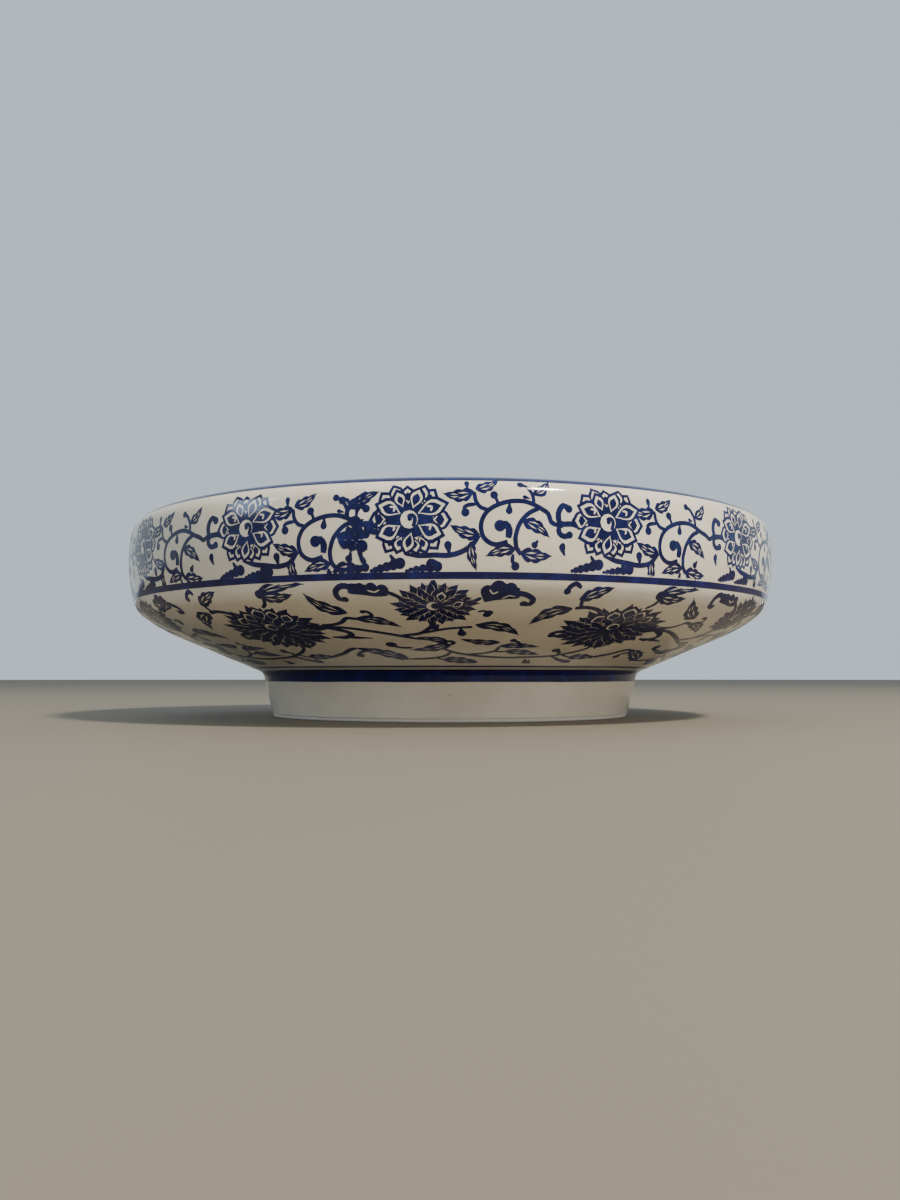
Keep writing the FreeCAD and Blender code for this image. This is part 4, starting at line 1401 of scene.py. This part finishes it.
CONE_TURN = math.radians(-62.0)
for name, first_turn in (
        ("printed_cone_front", CONE_TURN), ("printed_cone_back", CONE_TURN + 3 * CONE_PITCH)):
    cone_print = cone_tile(name)
    run_tree(cone_print, WRAP, Section=outside_guide, Flat_radius=1.0, Fan_distance=FAN_DISTANCE * MM,
             Fan_share=FAN_SHARE, Section_start=(cone_length - cone_reach) * MM, Repeats=3,
             First_turn=first_turn, Pitch=CONE_PITCH, Crowding=0.0, Slant=0.0, Lap_from=NOWHERE,
             Material=PRINT_BLUE)
    face_the_air(cone_print)
    report(cone_print)
    stand_for(cone_print, "lower_body_transfer")


# %% The flower in the middle of the floor
MEDALLION = 34.0
COARSE = 5.0
MEDALLION_LONGEST = 4.0
FLOWER_SCALE = 1.25


def spun(shapes, degrees):
    turn = math.radians(degrees)
    return [([Vector((spot.x * math.cos(turn) - spot.y * math.sin(turn),
                      spot.x * math.sin(turn) + spot.y * math.cos(turn))) for spot in outline], tone)
            for outline, tone in shapes]


def medallion_drawing():
    spray = vine([(0, 12), (1.5, 16), (5.5, 18.5), (9.5, 22.5), (13.5, 22.0)], 1.2)
    spray += leaf((4.6, 18.0), (-0.4, 29.6), 5.0, -0.1) + leaf((13.2, 22.2), (13.6, 30.4), 4.0, 0.1, 2)
    spray += bud((8.6, 21.8), (7.0, 28.6), 2.6) + vine([(4.8, 18.0), (8.8, 15.6), (12.6, 15.8)], 1.0)
    spray += leaf((12.2, 15.6), (18.4, 19.0), 3.8, -0.05, 2)
    spray += comma([(1.0, 15.5), (-2.6, 17.0), (-3.6, 20.4), (-2.0, 21.6)], 1.0, 1.3)
    shapes = [shape for n in range(6) for shape in spun(spray, 60 * n)]
    flower = shifted(band_flower(), Vector((-0.2, -16.0)))
    return shapes + [([spot * FLOWER_SCALE for spot in outline], tone) for outline, tone in flower]


def medallion():
    grid = grid_points(-MEDALLION, MEDALLION, -MEDALLION, MEDALLION, 14, COARSE, MEDALLION, COARSE)
    keep = lambda spot: spot.length < MEDALLION
    spots, inked = inked_triangles(medallion_drawing(), keep, [], grid, MEDALLION_LONGEST)
    piece = film_piece("printed_floor_flower", spots, inked)
    for point in piece.data.vertices:
        point.co.z += (FLOOR_TOP + GLAZE) * MM
    piece.data.materials.append(PRINT_BLUE)
    return piece


floor_print = medallion()
report(floor_print)
stand_for(floor_print, "centre_medallion")


# The section curve has done its work, and isn't part of the bowl.
bpy.data.objects.remove(outside_guide)


# %% [markdown]
# ## Standing in the light

# %% Floor, light and camera
FLOOR_REACH = 6.0
floor_rim = [towards(angle) * FLOOR_REACH for angle in range(0, 360, 3)]
floor_mesh = bpy.data.meshes.new("floor")
floor_mesh.from_pydata([(spot.x, spot.y, 0) for spot in floor_rim], [], [tuple(range(len(floor_rim)))])
floor = bpy.data.objects.new("floor", floor_mesh)
bpy.context.scene.collection.objects.link(floor)
floor_finish, floor_tree, floor_shader = start_material("pale floor")
floor_shader.inputs["Base Color"].default_value = linear(120, 111, 95)
floor_shader.inputs["Roughness"].default_value = 0.75
floor_mesh.materials.append(floor_finish)


def soft_light(name, place, aim, width, power, colour):
    lamp = bpy.data.lights.new(name, "AREA")
    lamp.shape = "DISK"
    lamp.size = width
    lamp.energy = power
    lamp.color = colour
    light = bpy.data.objects.new(name, lamp)
    bpy.context.scene.collection.objects.link(light)
    light.location = place
    light.rotation_euler = (Vector(aim) - Vector(place)).to_track_quat("-Z", "Y").to_euler()
    return light


# Each light has a place, an aim, a width in metres, a power in watts and a colour.
soft_light("key", (0.72, -0.80, 1.45), (0, 0, 0.04), 0.22, 41.0, (1.0, 0.95, 0.87))
low_front = soft_light("low front", (0.60, -1.15, 0.55), (0, 0, 0.01), 1.1, 8.5, (1.0, 0.96, 0.90))
# The low light fills the foot. The glaze doesn't mirror it, because that would wash out the scroll.
low_front.visible_glossy = False
soft_light("fill", (-1.3, -0.5, 0.7), (0, 0, 0.05), 0.5, 4.0, (0.62, 0.78, 1.0))

# The sky is bright beyond the bowl and dim behind the viewer, so the cone's underside stays dark.
# It turns from dim to bright between these two places along Y, where 1 is straight ahead.
SKY_TURN = 0.6
SKY_DIM = 0.58
SKY_BRIGHT = 0.96
world = bpy.data.worlds.new("pale sky")
bpy.context.scene.world = world
world.use_nodes = True
sky_tree = world.node_tree
sky = sky_tree.nodes["Background"]
sky_side = split(sky_tree, add_node(sky_tree, "ShaderNodeTexCoord").outputs["Generated"])
beyond = add_node(sky_tree, "ShaderNodeMapRange", {
    "Value": sky_side[1], "From Min": -SKY_TURN, "From Max": SKY_TURN,
    "To Min": SKY_DIM, "To Max": SKY_BRIGHT})
sky_tree.links.new(beyond.outputs["Result"], sky.inputs["Strength"])
sky.inputs["Color"].default_value = (0.61, 0.71, 0.78, 1.0)

# The viewer stands close and low, and looks slightly up.
EYE = (0.0, -0.4234, 0.0159)
LOOKING_UP = 4.4
LENS = 30.05
camera_data = bpy.data.cameras.new("camera")
camera_data.sensor_fit = "VERTICAL"
camera_data.sensor_height = 36.0
camera_data.sensor_width = 36.0
camera_data.lens = LENS
camera_data.clip_start = 0.01
camera = bpy.data.objects.new("camera", camera_data)
camera.location = EYE
camera.rotation_euler = (math.radians(90 + LOOKING_UP), 0, 0)
bpy.context.scene.collection.objects.link(camera)
bpy.context.scene.camera = camera
